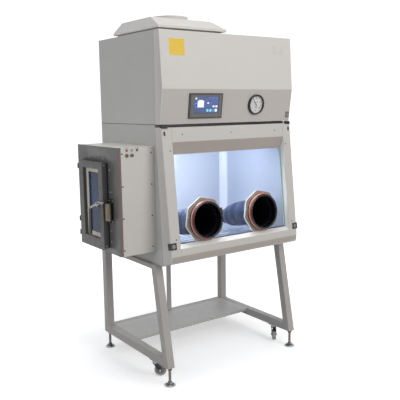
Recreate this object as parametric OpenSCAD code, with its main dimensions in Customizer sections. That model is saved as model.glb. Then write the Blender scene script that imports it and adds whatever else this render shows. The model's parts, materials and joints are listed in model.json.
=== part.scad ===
// Glove box: a closed safety cabinet with two glove ports, a pass-through airlock and a stand.
// Working axes: X to the right, Y to the back, Z up from the floor. X = 0 is the middle of the
// cabinet and Y = 0 is the seam between its front cover and its side panels; the last step
// moves everything so that the origin is the middle of the whole footprint.

/* [Cabinet] */
// Width of the cabinet
cab_w = 1000; // [980:10:1020]
// Back of the cabinet, from the front seam
cab_back = 662; // [655:1:670]
// Height of the cabinet's top above the floor
cab_top = 2063; // [2050:1:2075]
// Height of the cabinet's underside above the floor
cab_bottom = 720; // [716:1:724]
// Height of the upper housing's underside
housing_bottom = 1540; // [1538:1:1544]
// Sheet steel thickness
sheet = 1.5; // [1.2:0.1:2]

/* [Front cover] */
// How far the cover's top edge stands forward of the seam
cover_top_out = 55; // [50:1:60]
// How far the crease stands forward of the seam
crease_out = 77; // [72:1:80]
// Height of the crease between the upper facet and the control facet
crease_z = 1742; // [1730:1:1750]
// How far the cover's lower edge stands forward of the seam
cover_low_out = 49; // [46:1:50]

/* [Window frame] */
// Tilt of the window from vertical, in degrees
tilt = 6.33; // [6:0.01:6.6]
// How far the frame's top edge stands forward of the seam
frame_top_out = 58; // [56:1:60]
// Height of the frame's top edge
frame_top_z = 1524; // [1522:1:1525]
// Height of the window frame's underside
frame_bottom = 747; // [744:1:750]
// Length of the sloping front face
frame_len = 733; // [728:1:736]
// Half of the window opening's width
window_half = 432; // [425:1:435]
// Window opening, top edge, down the slope
window_s0 = 83; // [80:1:90]
// Window opening, bottom edge, down the slope
window_s1 = 697; // [692:1:699]
// Depth of the glass behind the front face
glass_depth = 40; // [38:1:42]
// Where the sloping header above the opening meets the glass, down the slope
tunnel_s0 = 155; // [150:1:160]
// Where the sill below the opening meets the glass, down the slope
tunnel_s1 = 674; // [670:1:680]
// Glass thickness
glass_t = 8; // [6:1:8]

/* [Glove ports] */
// Half of the distance between the two glove ports
port_x = 223; // [215:1:228]
// Port centre, down the slope
port_s = 553; // [548:1:556]
// Inner radius of the port cuff
port_r = 100; // [96:1:101]
// Length of each sleeve and glove
glove_len = 520; // [500:5:530]

/* [Airlock] */
// Width of the airlock, out from the cabinet's side
lock_w = 233; // [225:1:236]
// Front of the airlock, from the seam
lock_front = 20; // [18:1:24]
// Back of the airlock, from the seam
lock_back = 545; // [540:1:550]
// Underside of the airlock
lock_bottom = 800; // [795:1:805]
// Top of the airlock
lock_top = 1417; // [1410:1:1422]

/* [Stand] */
// Overall width of the stand
stand_w = 1036; // [1032:2:1044]
// Side of the square tube
tube = 50; // [48:1:52]
// Height of the upper rails
top_rail_h = 30; // [28:1:34]
// Tube wall
tube_wall = 3; // [2:0.5:4]
// Back face of the stand, from the seam
stand_back = 692; // [688:1:696]
// Front face of the front legs at their foot, forward of the seam
leg_foot_out = 105; // [100:1:108]
// Underside of the lower rails
rail_z = 110; // [106:1:114]
// Front edge of the shelf, from the seam
shelf_front = 340; // [330:1:350]

/* [Exhaust] */
// Outer radius of the exhaust collar, for a 224 mm duct
duct_r = 112; // [110:0.5:114]
// Height of the exhaust collar
duct_h = 24; // [22:1:30]

/* [Hidden] */
$fn = 48;
BIG = 3000;

// Cabinet
half = cab_w / 2;
seam_gap = 2;
wall = 30;
liner_x = half - wall;
chamber_back = 600;
ceiling_z = 1450;
worktop_z = 785;

// Window plane
frame_low_out = frame_top_out + frame_len * sin(tilt);
frame_low_z = frame_top_z - frame_len * cos(tilt);
chin_out = frame_low_out - 7;
frame_rear_top = 5;
frame_rear_low = -50;
wall_gap = 3;
hinge_y = -50;
hinge_z = 1530;
knuckle_r = 5;
pin_r = 3;
cover_hinge_y = -45;
cover_hinge_z = cab_top - 5;
cover_knuckle_r = 4;
cover_flange_back = -42;
top_front = -38.5;

// Control facet
facet_run = crease_out - cover_low_out;
facet_rise = crease_z - housing_bottom;
facet_tilt = atan(facet_run / facet_rise);
panel_lo = [-312, 32];
panel_hi = [-72, 177];
screen_lo = [-279, 61];
screen_hi = [-101, 158];
gauge_at = [196, 109];
gauge_r = 61;
lock_at = [478, 41];

// Glove ports
cuff_r = port_r + 11;
cuff_front = -4;
cuff_rear = 50;
flange_r = 143;
flange_t = 12;
ring_minor = 3.4;
sleeve_tilt = 13;

// Airlock
lock_x = -half - lock_w;
door_y0 = 158;
door_y1 = 464;
door_z0 = 828;
door_z1 = 1330;
door_in = lock_x - 3;
door_t = 32;
door_out = door_in - door_t;
door_win_lo = [208, 880];
door_win_hi = [404, 1290];
tunnel_lo = [175, 845];
tunnel_hi = [447, 1313];
door_axis = [door_out + 4, 472];
door_hinge_z = [882, 967, 1292];
handle_y = 178;
handle_z = 1092;
handle_r = 8;
grip_x = door_out - 27;
grip_out = grip_x - handle_r - 1;
button_x = [-680, -647];
button_z = 1374;
lamp_x = [-680, -647, -614];
lamp_z = 1402;

// Stand
stand_half = stand_w / 2;
stand_in = stand_half - tube;
top_rail_z = cab_bottom - top_rail_h;
leg_slope = 0.19;
foot_x = stand_half - tube / 2;
foot_pad_r = 33;
stem_r = 8;
foot_front_y = -leg_foot_out + 20;
foot_rear_y = stand_back - tube / 2;
caster_y = 74;
// How far each caster has swivelled from trailing straight to the front
swivel = [51.5, -38.5];
wheel_r = 37.5;
wheel_z = 44;
wheel_trail = 30;

// Exhaust hood
hood_lo = [-489, -33];
hood_hi = [-6, 482];
hood_top_lo = [-462, 88];
hood_top_hi = [-35, 418];
hood_z0 = cab_top + 12;
hood_lip = 14;
hood_z1 = cab_top + 84;
duct_at = [-245, 222];
collar_wall = 5;

// Middle of the footprint
origin_x = (grip_out + foot_x + foot_pad_r) / 2;
origin_y = (foot_rear_y + foot_pad_r - frame_low_out) / 2;

// ---------- helpers ----------

// Moves a piece from the working axes to the part's own origin.
module place() {
  translate([-origin_x, -origin_y, 0]) children();
}

// A block between two corners.
module span(lo, hi) {
  translate(lo) cube(hi - lo);
}

// A side outline, given as [y, z] points, drawn out between two x values.
module profile(points, x0, x1) {
  translate([x0, 0, 0]) rotate([90, 0, 90]) linear_extrude(x1 - x0) polygon(points);
}

// Axes on the window frame's sloping face: x, up the slope, out of the face.
module on_front() {
  translate([0, -frame_top_out, frame_top_z]) rotate([90 - tilt, 0, 0]) children();
}

// Axes on the control facet: x, up the facet, out of the facet.
module on_facet() {
  translate([0, -cover_low_out, housing_bottom]) rotate([90 + facet_tilt, 0, 0]) children();
}

// A point on the side outline of the sloping front, from the distance down it and the depth behind it.
function front_point(s, d) = [
  -frame_top_out - s * sin(tilt) + d * cos(tilt),
  frame_top_z - s * cos(tilt) - d * sin(tilt)
];

module ring(r_out, r_in, h) {
  difference() {
    cylinder(r = r_out, h = h);
    translate([0, 0, -1]) cylinder(r = r_in, h = h + 2);
  }
}

module mirrored_x() {
  children();
  mirror([1, 0, 0]) children();
}

// A box tube with open inside, along Z, of square section.
module square_tube(lo, hi) {
  difference() {
    span(lo, hi);
    span(lo + [tube_wall, tube_wall, tube_wall], hi - [tube_wall, tube_wall, tube_wall]);
  }
}

// ---------- stand ----------

function leg_y(z) = -leg_foot_out + leg_slope * (z - rail_z);

module front_leg() {
  w = tube / cos(atan(leg_slope));
  top = cab_bottom;
  outline = [[leg_y(rail_z), rail_z], [leg_y(rail_z) + w, rail_z],
    [leg_y(top) + w, top], [leg_y(top), top]];
  inner = [[leg_y(rail_z) + tube_wall, rail_z + 4], [leg_y(rail_z) + w - tube_wall, rail_z + 4],
    [leg_y(top) + w - tube_wall, top - 4], [leg_y(top) + tube_wall, top - 4]];
  difference() {
    profile(outline, stand_in, stand_half);
    profile(inner, stand_in + tube_wall, stand_half - tube_wall);
    translate([foot_x, foot_front_y, rail_z - 1]) cylinder(r = stem_r + 0.3, h = 8);
  }
}

module rear_leg() {
  difference() {
    square_tube([stand_in, stand_back - tube, rail_z], [stand_half, stand_back, cab_bottom]);
    translate([foot_x, foot_rear_y, rail_z - 1]) cylinder(r = stem_r + 0.3, h = 8);
  }
}

module legs() {
  place() color([0.66, 0.65, 0.64]) mirrored_x() {
    front_leg();
    rear_leg();
  }
}

module side_rail(z0, h) {
  w = tube / cos(atan(leg_slope));
  z1 = z0 + h;
  back = stand_back - tube;
  outline = [[leg_y(z0) + w, z0], [back, z0], [back, z1], [leg_y(z1) + w, z1]];
  inner = [[leg_y(z0) + w + tube_wall, z0 + tube_wall], [back - tube_wall, z0 + tube_wall],
    [back - tube_wall, z1 - tube_wall], [leg_y(z1) + w + tube_wall, z1 - tube_wall]];
  difference() {
    profile(outline, stand_in, stand_half);
    profile(inner, stand_in + tube_wall, stand_half - tube_wall);
  }
}

module stand_rails() {
  place() color([0.66, 0.65, 0.64]) {
    mirrored_x() {
      side_rail(rail_z, tube);
      side_rail(top_rail_z, top_rail_h);
    }
    square_tube([-stand_in, stand_back - tube, rail_z], [stand_in, stand_back, rail_z + tube]);
    square_tube([-stand_in, stand_back - tube, top_rail_z], [stand_in, stand_back, cab_bottom]);
  }
}

module rear_post() {
  place() color([0.62, 0.61, 0.6]) difference() {
    span([-15, stand_back - 35, rail_z + tube], [15, stand_back - 15, top_rail_z]);
    span([-13, stand_back - 33, rail_z + tube + 2], [13, stand_back - 17, top_rail_z - 2]);
  }
}

module shelf() {
  z1 = rail_z + tube;
  back = stand_back - tube;
  place() color([0.7, 0.7, 0.69]) difference() {
    span([-stand_in, shelf_front, z1 - 22], [stand_in, back, z1]);
    span([-stand_in - 1, shelf_front + 2, z1 - 23], [stand_in + 1, back - 2, z1 - 2]);
  }
}

// A levelling foot: a domed base under a threaded stem with its lock nut.
module foot(x, y) {
  place() color([0.75, 0.75, 0.76]) translate([x, y, 0]) {
    rotate_extrude() polygon([[0, 0], [foot_pad_r, 0], [foot_pad_r, 5], [24, 11], [13, 15], [13, 24],
      [stem_r, 28], [stem_r, rail_z + 6], [0, rail_z + 6]]);
    translate([0, 0, rail_z - 13]) difference() {
      cylinder(r = 14, h = 12.5, $fn = 6);
      translate([0, 0, -1]) cylinder(r = stem_r, h = 15);
    }
  }
}

module foot_front_left() { foot(-foot_x, foot_front_y); }
module foot_front_right() { foot(foot_x, foot_front_y); }
module foot_rear_left() { foot(-foot_x, foot_rear_y); }
module foot_rear_right() { foot(foot_x, foot_rear_y); }

module caster_plates() {
  place() color([0.75, 0.75, 0.76]) mirrored_x() translate([foot_x, caster_y, rail_z - 5]) {
    span([-25, -33, 1], [25, 33, 5]);
    translate([0, 0, -9]) cylinder(r = 20, h = 10);
    translate([0, 0, -17.5]) cylinder(r = 5, h = 9);
  }
}

// The swivel fork: a collar round the king pin, two side cheeks and the wheel axle.
module caster_fork(x, turn) {
  top = rail_z - 14.3;
  place() color([0.75, 0.75, 0.76]) translate([x, caster_y, 0]) rotate([0, 0, turn]) {
    difference() {
      translate([0, 0, top - 10]) cylinder(r = 19, h = 10);
      translate([0, 0, top - 11]) cylinder(r = 5.2, h = 12);
    }
    for (s = [-1, 1]) {
      difference() {
        hull() {
          translate([s * 15 - 1.5, -wheel_trail, wheel_z]) rotate([0, 90, 0])
            cylinder(r = 10, h = 3, $fn = 32);
          translate([s * 15 - 1.5, -15, top - 6]) cube([3, 30, 6]);
        }
        translate([0, 0, top - 11]) cylinder(r = 5.2, h = 12);
      }
    }
    translate([-18, -wheel_trail, wheel_z]) rotate([0, 90, 0]) cylinder(r = 4, h = 36);
  }
}

module caster_fork_left() { caster_fork(-foot_x, swivel[0]); }
module caster_fork_right() { caster_fork(foot_x, swivel[1]); }

module caster_wheel(x, turn) {
  tread = [[4.1, -12.5], [14, -12.5], [16, -9], [28, -9], [30, -12], [wheel_r - 3, -12], [wheel_r, -9],
    [wheel_r, 9], [wheel_r - 3, 12], [30, 12], [28, 9], [16, 9], [14, 12.5], [4.1, 12.5]];
  place() color([0.45, 0.45, 0.46]) translate([x, caster_y, 0]) rotate([0, 0, turn])
    translate([0, -wheel_trail, wheel_z]) rotate([0, 90, 0]) rotate_extrude() polygon(tread);
}

module caster_wheel_left() { caster_wheel(-foot_x, swivel[0]); }
module caster_wheel_right() { caster_wheel(foot_x, swivel[1]); }

// ---------- upper housing ----------

module housing_side_panels() {
  place() color([0.72, 0.71, 0.69]) mirrored_x() {
    span([half - sheet, seam_gap, housing_bottom + 1], [half, cab_back - sheet, cab_top - sheet]);
    span([half - 20, seam_gap, housing_bottom + 1], [half - sheet, seam_gap + sheet, cab_top - 60]);
  }
}

module back_panel() {
  place() color([0.72, 0.71, 0.69]) difference() {
    span([-half, cab_back - sheet, cab_bottom], [half, cab_back, cab_top - sheet]);
    translate([330, cab_back + 1, 1960]) rotate([90, 0, 0]) cylinder(r = 14, h = 5);
  }
}

// Top sheet with the two brackets and pins that the front cover swings on.
module housing_top_panel() {
  place() color([0.74, 0.73, 0.71]) {
    difference() {
      union() {
        span([-half, seam_gap, cab_top - sheet], [half, cab_back, cab_top]);
        span([-half + 5, top_front, cab_top - sheet], [half - 5, seam_gap + 1, cab_top]);
      }
      translate([duct_at[0], duct_at[1], cab_top - 5]) cylinder(r = duct_r - collar_wall, h = 10);
    }
    mirrored_x() translate([half - 26, cover_hinge_y, cover_hinge_z]) {
      rotate([0, 90, 0]) cylinder(r = cover_knuckle_r, h = 6);
      rotate([0, 90, 0]) cylinder(r = cover_knuckle_r / 2, h = 21);
      span([0, 0, -cover_knuckle_r], [6, 25, cab_top - sheet - cover_hinge_z]);
    }
  }
}

// The supply filter over the chamber and the exhaust filter under the hood.
module hepa_filters() {
  place() color([0.85, 0.85, 0.82]) {
    difference() {
      span([-420, 90, 1470], [420, 560, 1560]);
      span([-400, 110, 1545], [400, 540, 1561]);
    }
    difference() {
      span([-455, 60, 1940], [-35, 450, 2040]);
      span([-435, 80, 2020], [-55, 430, 2041]);
    }
  }
}

module fan_case() {
  place() color([0.6, 0.62, 0.63]) translate([200, 330, 1650]) difference() {
    cylinder(r = 190, h = 180);
    translate([0, 0, 3]) cylinder(r = 187, h = 174);
    translate([0, 0, 170]) cylinder(r = 95, h = 20);
    translate([0, 0, -1]) cylinder(r = 10.3, h = 10);
    span([-60, -200, 30], [60, -150, 150]);
  }
}

module fan_impeller() {
  blades = 12;
  place() color([0.3, 0.31, 0.33]) translate([200, 330, 1650]) {
    translate([0, 0, 25]) cylinder(r = 150, h = 4);
    translate([0, 0, -25]) cylinder(r = 10, h = 60);
    translate([0, 0, 125]) ring(150, 100, 4);
    for (i = [0:blades - 1]) {
      rotate([0, 0, i * 360 / blades]) translate([112, -2, 29]) cube([36, 4, 96]);
    }
  }
}

// A low hipped hood on a plinth, open to the exhaust collar.
module exhaust_hood() {
  place() color([0.8, 0.8, 0.78]) difference() {
    union() {
      span([hood_lo[0] + 20, 6, cab_top], [hood_hi[0] - 20, hood_hi[1] - 20, hood_z0]);
      hull() {
        span([hood_lo[0], hood_lo[1], hood_z0], [hood_hi[0], hood_hi[1], hood_z0 + hood_lip]);
        span([hood_top_lo[0], hood_top_lo[1], hood_z1 - 1], [hood_top_hi[0], hood_top_hi[1], hood_z1]);
      }
    }
    hull() {
      span([hood_lo[0] + 24, 10, cab_top - 1], [hood_hi[0] - 24, hood_hi[1] - 24, hood_z0 + 8]);
      span([hood_top_lo[0] + 24, hood_top_lo[1] + 12, hood_z1 - 6],
        [hood_top_hi[0] - 24, hood_top_hi[1] - 12, hood_z1 - 2]);
    }
    translate([duct_at[0], duct_at[1], hood_z1 - 10]) cylinder(r = duct_r - collar_wall, h = 20);
  }
}

module duct_collar() {
  place() color([0.78, 0.78, 0.76]) translate([duct_at[0], duct_at[1], hood_z1])
    ring(duct_r, duct_r - collar_wall, duct_h);
}

// ---------- front cover ----------

module front_cover() {
  skin = 2;
  outer = [[0, housing_bottom], [-cover_low_out, housing_bottom], [-crease_out, crease_z],
    [-cover_top_out, cab_top], [0, cab_top]];
  inner = [[1, housing_bottom + skin], [-cover_low_out + skin, housing_bottom + skin],
    [-crease_out + skin, crease_z], [-cover_top_out + skin, cab_top - skin], [1, cab_top - skin]];
  knuckle_x = half - 12;
  place() color([0.78, 0.76, 0.74]) {
    difference() {
      profile(outer, -half, half);
      profile(inner, -half + skin, half - skin);
      span([-half + skin, cover_flange_back, cab_top - 5], [half - skin, 1, cab_top + 1]);
      mirrored_x() span([half - 28, -52, cab_top - 5], [knuckle_x - 2, 1, cab_top + 1]);
      on_facet() {
        span([panel_lo[0] + 12, panel_lo[1] + 12, -60], [panel_hi[0] - 12, panel_hi[1] - 12, 10]);
        translate([gauge_at[0], gauge_at[1], -60]) cylinder(r = 57.5, h = 70);
        translate([lock_at[0], lock_at[1], -20]) cylinder(r = 9.3, h = 40);
      }
    }
    mirrored_x() translate([knuckle_x, cover_hinge_y, cover_hinge_z]) rotate([0, 90, 0])
      ring(cover_knuckle_r, cover_knuckle_r / 2 + 0.1, 10.5);
  }
}

module touch_panel() {
  place() color([0.36, 0.36, 0.37]) on_facet() difference() {
    union() {
      span([panel_lo[0], panel_lo[1], 0], [panel_hi[0], panel_hi[1], 8]);
      span([panel_lo[0] + 14, panel_lo[1] + 14, -38], [panel_hi[0] - 14, panel_hi[1] - 14, 1]);
    }
    span([screen_lo[0], screen_lo[1], 5], [screen_hi[0], screen_hi[1], 9]);
  }
}

module touch_screen() {
  place() color([0.2, 0.27, 0.5]) on_facet()
    span([screen_lo[0] + 0.3, screen_lo[1] + 0.3, 5], [screen_hi[0] - 0.3, screen_hi[1] - 0.3, 6.5]);
}

// The gauge's case: a bezel in front, a can behind and the pivot that the needle turns on.
module gauge_case() {
  place() color([0.12, 0.12, 0.13]) on_facet() translate([gauge_at[0], gauge_at[1], 0]) {
    difference() {
      union() {
        cylinder(r = gauge_r, h = 14);
        translate([0, 0, -32]) cylinder(r = 56.5, h = 33);
      }
      translate([0, 0, 4]) cylinder(r = 53, h = 11);
    }
    cylinder(r = 1.5, h = 8);
  }
}

module gauge_glass() {
  place() color([0.8, 0.85, 0.88, 0.3]) on_facet()
    translate([gauge_at[0], gauge_at[1], 10.5]) cylinder(r = 52.8, h = 1.5);
}

module gauge_needle() {
  place() color([0.1, 0.1, 0.1]) on_facet() translate([gauge_at[0], gauge_at[1], 5.5]) difference() {
    union() {
      cylinder(r = 5, h = 2);
      rotate([0, 0, 128]) translate([-12, -1, 0]) cube([54, 2, 1]);
    }
    translate([0, 0, -1]) cylinder(r = 1.56, h = 5);
  }
}

module cover_lock() {
  place() color([0.8, 0.8, 0.8]) on_facet() translate([lock_at[0], lock_at[1], 0]) difference() {
    union() {
      translate([0, 0, -20]) cylinder(r = 9, h = 24);
      translate([-6, -6, -22]) cube([12, 30, 3]);
    }
    translate([-1, -5, 1]) cube([2, 10, 5]);
  }
}

// ---------- chamber ----------

// Outline of a chamber side wall, with its front edge following the window frame.
function wall_outline(m) = [
  [frame_rear_low + wall_gap + m, cab_bottom + m],
  [cab_back - sheet - m, cab_bottom + m],
  [cab_back - sheet - m, housing_bottom - 2 - m],
  [frame_rear_top + wall_gap + m, housing_bottom - 2 - m]
];

module side_wall() {
  difference() {
    profile(wall_outline(0), liner_x, half);
    profile(wall_outline(sheet), liner_x + sheet, half - sheet);
  }
}

// The left wall has the airlock's opening, and the slot in its top that the inner door rises through.
module chamber_left_wall() {
  place() color([0.72, 0.71, 0.69]) difference() {
    mirror([1, 0, 0]) side_wall();
    span([-half - 1, tunnel_lo[0] + sheet, tunnel_lo[1] + sheet],
      [-liner_x + 1, tunnel_hi[0] - sheet, tunnel_hi[1] - sheet]);
    span([-half + 6, door_y0, housing_bottom - 10], [-half + 20, door_y1, housing_bottom]);
  }
}

module chamber_right_wall() {
  place() color([0.72, 0.71, 0.69]) side_wall();
}

module chamber_back_wall() {
  place() color([0.75, 0.76, 0.78])
    span([-liner_x, chamber_back, worktop_z], [liner_x, chamber_back + sheet, ceiling_z]);
}

// Ceiling with a diffuser opening, a front header and the window's hinge pins.
module chamber_ceiling() {
  place() color([0.75, 0.76, 0.78]) {
    difference() {
      span([-liner_x, 8, ceiling_z], [liner_x, chamber_back + sheet, ceiling_z + sheet]);
      span([-380, 130, ceiling_z - 1], [380, 520, ceiling_z + 3]);
    }
    span([-liner_x, 8, ceiling_z], [liner_x, 10, housing_bottom - 2]);
    mirrored_x() {
      span([half - 38, hinge_y, hinge_z + 1], [half - 30, 9, hinge_z + knuckle_r]);
      translate([half - 38, hinge_y, hinge_z]) rotate([0, 90, 0]) cylinder(r = knuckle_r, h = 12);
      translate([half - 27, hinge_y, hinge_z]) rotate([0, 90, 0]) cylinder(r = pin_r, h = 26);
    }
  }
}

module worktop() {
  front = frame_rear_low + 9;
  place() color([0.78, 0.79, 0.8]) difference() {
    span([-liner_x, front, cab_bottom], [liner_x, cab_back - sheet, worktop_z]);
    span([-liner_x + 2, front + 2, cab_bottom + 2], [liner_x - 2, cab_back - sheet - 2, worktop_z - 2]);
  }
}

module lamp() {
  place() color([0.95, 0.97, 1]) {
    span([-400, 40, ceiling_z - 6], [400, 90, ceiling_z]);
    translate([-395, 65, ceiling_z - 6]) rotate([0, 90, 0]) difference() {
      cylinder(r = 18, h = 790);
      span([-20, -20, -1], [0, 20, 792]);
    }
  }
}

// ---------- window ----------

// Side outline of the tunnel between the front face and the glass, grown by m.
function tunnel_outline(m) = [
  front_point(window_s0 - m - 1.8, -1), front_point(tunnel_s0 - m, glass_depth),
  front_point(tunnel_s1 + m, glass_depth), front_point(window_s1 + m + 0.6, -1)
];

module window_frame() {
  skin = 3;
  rear_top = [frame_rear_top, frame_top_z];
  rear_low = [frame_rear_low, cab_bottom + 2];
  outer = [[-frame_top_out, frame_top_z], [-frame_low_out, frame_low_z], [-chin_out, frame_bottom],
    rear_low, rear_top];
  inner = [[-frame_top_out + skin, frame_top_z - skin], [-frame_low_out + skin, frame_low_z + skin],
    [-chin_out + skin, frame_bottom + skin], rear_low + [20, -skin], rear_top + [20, -skin]];
  place() color([0.77, 0.76, 0.74]) {
    difference() {
      union() {
        difference() {
          profile(outer, -half, half);
          profile(inner, -half + skin, half - skin);
        }
        intersection() {
          profile(tunnel_outline(3), -window_half - 3, window_half + 3);
          profile(outer, -half, half);
        }
        on_front() span([-460, -695, -glass_depth], [460, -132, -glass_depth + 3]);
      }
      profile(tunnel_outline(0), -window_half, window_half);
    }
  }
}

module window_glass() {
  place() color([0.75, 0.85, 0.85, 0.25]) on_front() difference() {
    span([-455, -690, -glass_depth - glass_t], [455, -137, -glass_depth]);
    for (x = [-port_x, port_x]) {
      translate([x, -port_s, -glass_depth - glass_t - 1]) cylinder(r = cuff_r + 3, h = glass_t + 2);
    }
  }
}

// Octagonal plates whose lowest corner is cut flat where it meets the sill of the frame.
module port_flanges() {
  sill = port_s - tunnel_s1 + 1;
  place() color([0.67, 0.62, 0.55]) on_front() for (x = [-port_x, port_x]) {
    translate([x, -port_s, -glass_depth]) difference() {
      rotate([0, 0, 10]) cylinder(r = flange_r, h = flange_t, $fn = 8);
      translate([0, 0, -1]) cylinder(r = cuff_r, h = flange_t + 2);
      span([-flange_r, -flange_r, -1], [flange_r, sill, flange_t + 1]);
    }
  }
}

module port_cuffs() {
  place() color([0.08, 0.08, 0.09]) on_front() for (x = [-port_x, port_x]) {
    translate([x, -port_s, -cuff_rear]) difference() {
      cylinder(r = cuff_r, h = cuff_rear - cuff_front);
      translate([0, 0, -1]) cylinder(r = port_r, h = cuff_rear - cuff_front + 2);
      for (d = [5, 17]) {
        translate([0, 0, cuff_rear - d - 4]) ring(cuff_r + 2, cuff_r - 3, 8);
      }
    }
  }
}

module o_rings() {
  place() color([0.9, 0.28, 0.16]) on_front() for (x = [-port_x, port_x]) {
    translate([x, -port_s, -5]) rotate_extrude() translate([cuff_r + 0.8, 0]) circle(ring_minor, $fn = 24);
  }
}

// A sleeve and its glove, blown inwards by the lower pressure in the chamber.
module glove(x) {
  len = glove_len;
  outer = [[0, -20], [98, -20], [97, 20], [90, 80], [86, 180], [79, 280], [64, 322], [46, 345], [48, 375],
    [54, 425], [50, len - 30], [34, len - 6], [0, len]];
  inner = [[0, -21], [94, -21], [93, 20], [86, 80], [82, 180], [75, 278], [60, 319], [42, 345], [43, 375],
    [49, 425], [45, len - 32], [31, len - 10], [0, len - 4]];
  start = front_point(port_s, cuff_rear);
  place() color([0.1, 0.11, 0.2]) difference() {
    translate([x, start[0], start[1]]) rotate([-90 - sleeve_tilt, 0, 0]) difference() {
      rotate_extrude() polygon(outer);
      rotate_extrude() polygon(inner);
    }
    on_front() span([-BIG, -BIG, -cuff_rear - 1], [BIG, BIG, BIG]);
  }
}

module glove_left() { glove(-port_x); }
module glove_right() { glove(port_x); }

// A cam lever that turns on a pin beside the port.
module port_latch(x, angle) {
  place() color([0.15, 0.15, 0.15]) on_front() translate([x, -port_s, -glass_depth + flange_t + 0.4])
    rotate([0, 0, angle]) translate([cuff_r + 15, 0, 0]) difference() {
      union() {
        cylinder(r = 8, h = 10);
        translate([-7, 0, 2]) cube([14, 34, 6]);
      }
      translate([0, 0, 7]) cylinder(r = 3, h = 5);
    }
}

module port_latch_left() { port_latch(-port_x, 12); }
module port_latch_right() { port_latch(port_x, -48); }

// Moving hinge knuckles at the top corners and the lock housings at the bottom corners.
module window_fittings() {
  place() color([0.1, 0.1, 0.11]) mirrored_x() {
    difference() {
      union() {
        translate([half - 25.5, hinge_y, hinge_z]) rotate([0, 90, 0]) cylinder(r = knuckle_r, h = 25);
        span([half - 25.5, hinge_y - 3, frame_top_z], [half - 0.5, hinge_y + 3, hinge_z]);
      }
      translate([half - 26, hinge_y, hinge_z]) rotate([0, 90, 0]) cylinder(r = pin_r + 0.1, h = 30);
    }
    on_front() difference() {
      span([half - 40, -696, 0], [half + 3, -656, 3]);
      translate([half - 20, -676, -1]) cylinder(r = 9.3, h = 5);
    }
    on_front() span([half, -696, -24], [half + 3, -656, 0.5]);
  }
}

module latch_core(x) {
  place() color([0.75, 0.73, 0.68]) on_front() translate([x, -676, 0.3]) difference() {
    cylinder(r = 9, h = 4.2);
    translate([-1.2, -6, 2]) cube([2.4, 12, 3]);
  }
}

module latch_core_left() { latch_core(-half + 20); }
module latch_core_right() { latch_core(half - 20); }

// ---------- airlock ----------

// The casing's top, bottom and back, with the pass-through liner inside it.
module airlock_shell() {
  plate = 3;
  place() color([0.74, 0.73, 0.72]) {
    difference() {
      span([lock_x + plate, lock_front + 2, lock_bottom], [-half, lock_back, lock_top]);
      span([lock_x, lock_front, lock_bottom + sheet], [-half + 1, lock_back - sheet, lock_top - sheet]);
    }
    difference() {
      span([lock_x + plate, tunnel_lo[0], tunnel_lo[1]], [-half, tunnel_hi[0], tunnel_hi[1]]);
      span([lock_x, tunnel_lo[0] + sheet, tunnel_lo[1] + sheet],
        [0, tunnel_hi[0] - sheet, tunnel_hi[1] - sheet]);
    }
  }
}

module airlock_front_panel() {
  place() color([0.76, 0.75, 0.73]) difference() {
    span([lock_x + 3, lock_front, lock_bottom], [-half, lock_front + 2, lock_top]);
    for (x = button_x) {
      translate([x, lock_front + 3, button_z]) rotate([90, 0, 0]) cylinder(r = 7.3, h = 4);
    }
  }
}

module airlock_end_plate() {
  place() color([0.4, 0.39, 0.39]) difference() {
    span([lock_x, lock_front, lock_bottom], [lock_x + 3, lock_back, lock_top]);
    span([lock_x - 1, tunnel_lo[0] + sheet, tunnel_lo[1] + sheet],
      [lock_x + 5, tunnel_hi[0] - sheet, tunnel_hi[1] - sheet]);
  }
}

// A hollow door leaf with a window, and the knuckles that turn on its hinge pins.
module outer_door() {
  skin = 2;
  place() color([0.38, 0.37, 0.37]) {
    difference() {
      span([door_out, door_y0, door_z0], [door_in, door_y1, door_z1]);
      span([door_out - 1, door_win_lo[0], door_win_lo[1]], [door_in + 1, door_win_hi[0], door_win_hi[1]]);
      difference() {
        span([door_out + skin, door_y0 + skin, door_z0 + skin], [door_in - skin, door_y1 - skin, door_z1 - skin]);
        span([door_out, door_win_lo[0] - skin, door_win_lo[1] - skin],
          [door_in, door_win_hi[0] + skin, door_win_hi[1] + skin]);
      }
    }
    for (z = door_hinge_z) {
      difference() {
        union() {
          translate([door_axis[0], door_axis[1], z + 0.3]) cylinder(r = 7, h = 15);
          span([door_axis[0], door_y1 - 0.5, z + 0.3], [door_axis[0] + 6, door_axis[1], z + 15.3]);
        }
        translate([door_axis[0], door_axis[1], z - 1]) cylinder(r = 3.1, h = 20);
      }
    }
  }
}

module outer_door_glass() {
  place() color([0.3, 0.45, 0.6, 0.4])
    span([door_in - 6, door_win_lo[0], door_win_lo[1]], [door_in - 1, door_win_hi[0], door_win_hi[1]]);
}

module outer_door_gasket() {
  w = 25;
  place() color([0.82, 0.8, 0.68]) difference() {
    span([door_in - 13, door_win_lo[0], door_win_lo[1]], [door_in - 6, door_win_hi[0], door_win_hi[1]]);
    span([door_in - 14, door_win_lo[0] + w, door_win_lo[1] + w],
      [door_in - 5, door_win_hi[0] - w, door_win_hi[1] - w]);
  }
}

// Fixed hinge halves with their pins, on the end plate.
module door_hinges() {
  place() color([0.12, 0.12, 0.13]) for (z = door_hinge_z) {
    translate([door_axis[0], door_axis[1], z - 15]) cylinder(r = 7, h = 15);
    translate([door_axis[0], door_axis[1], z - 1]) cylinder(r = 3, h = 18);
    span([door_axis[0], door_axis[1] - 2, z - 15], [lock_x, door_axis[1] + 8, z]);
  }
}

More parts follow.
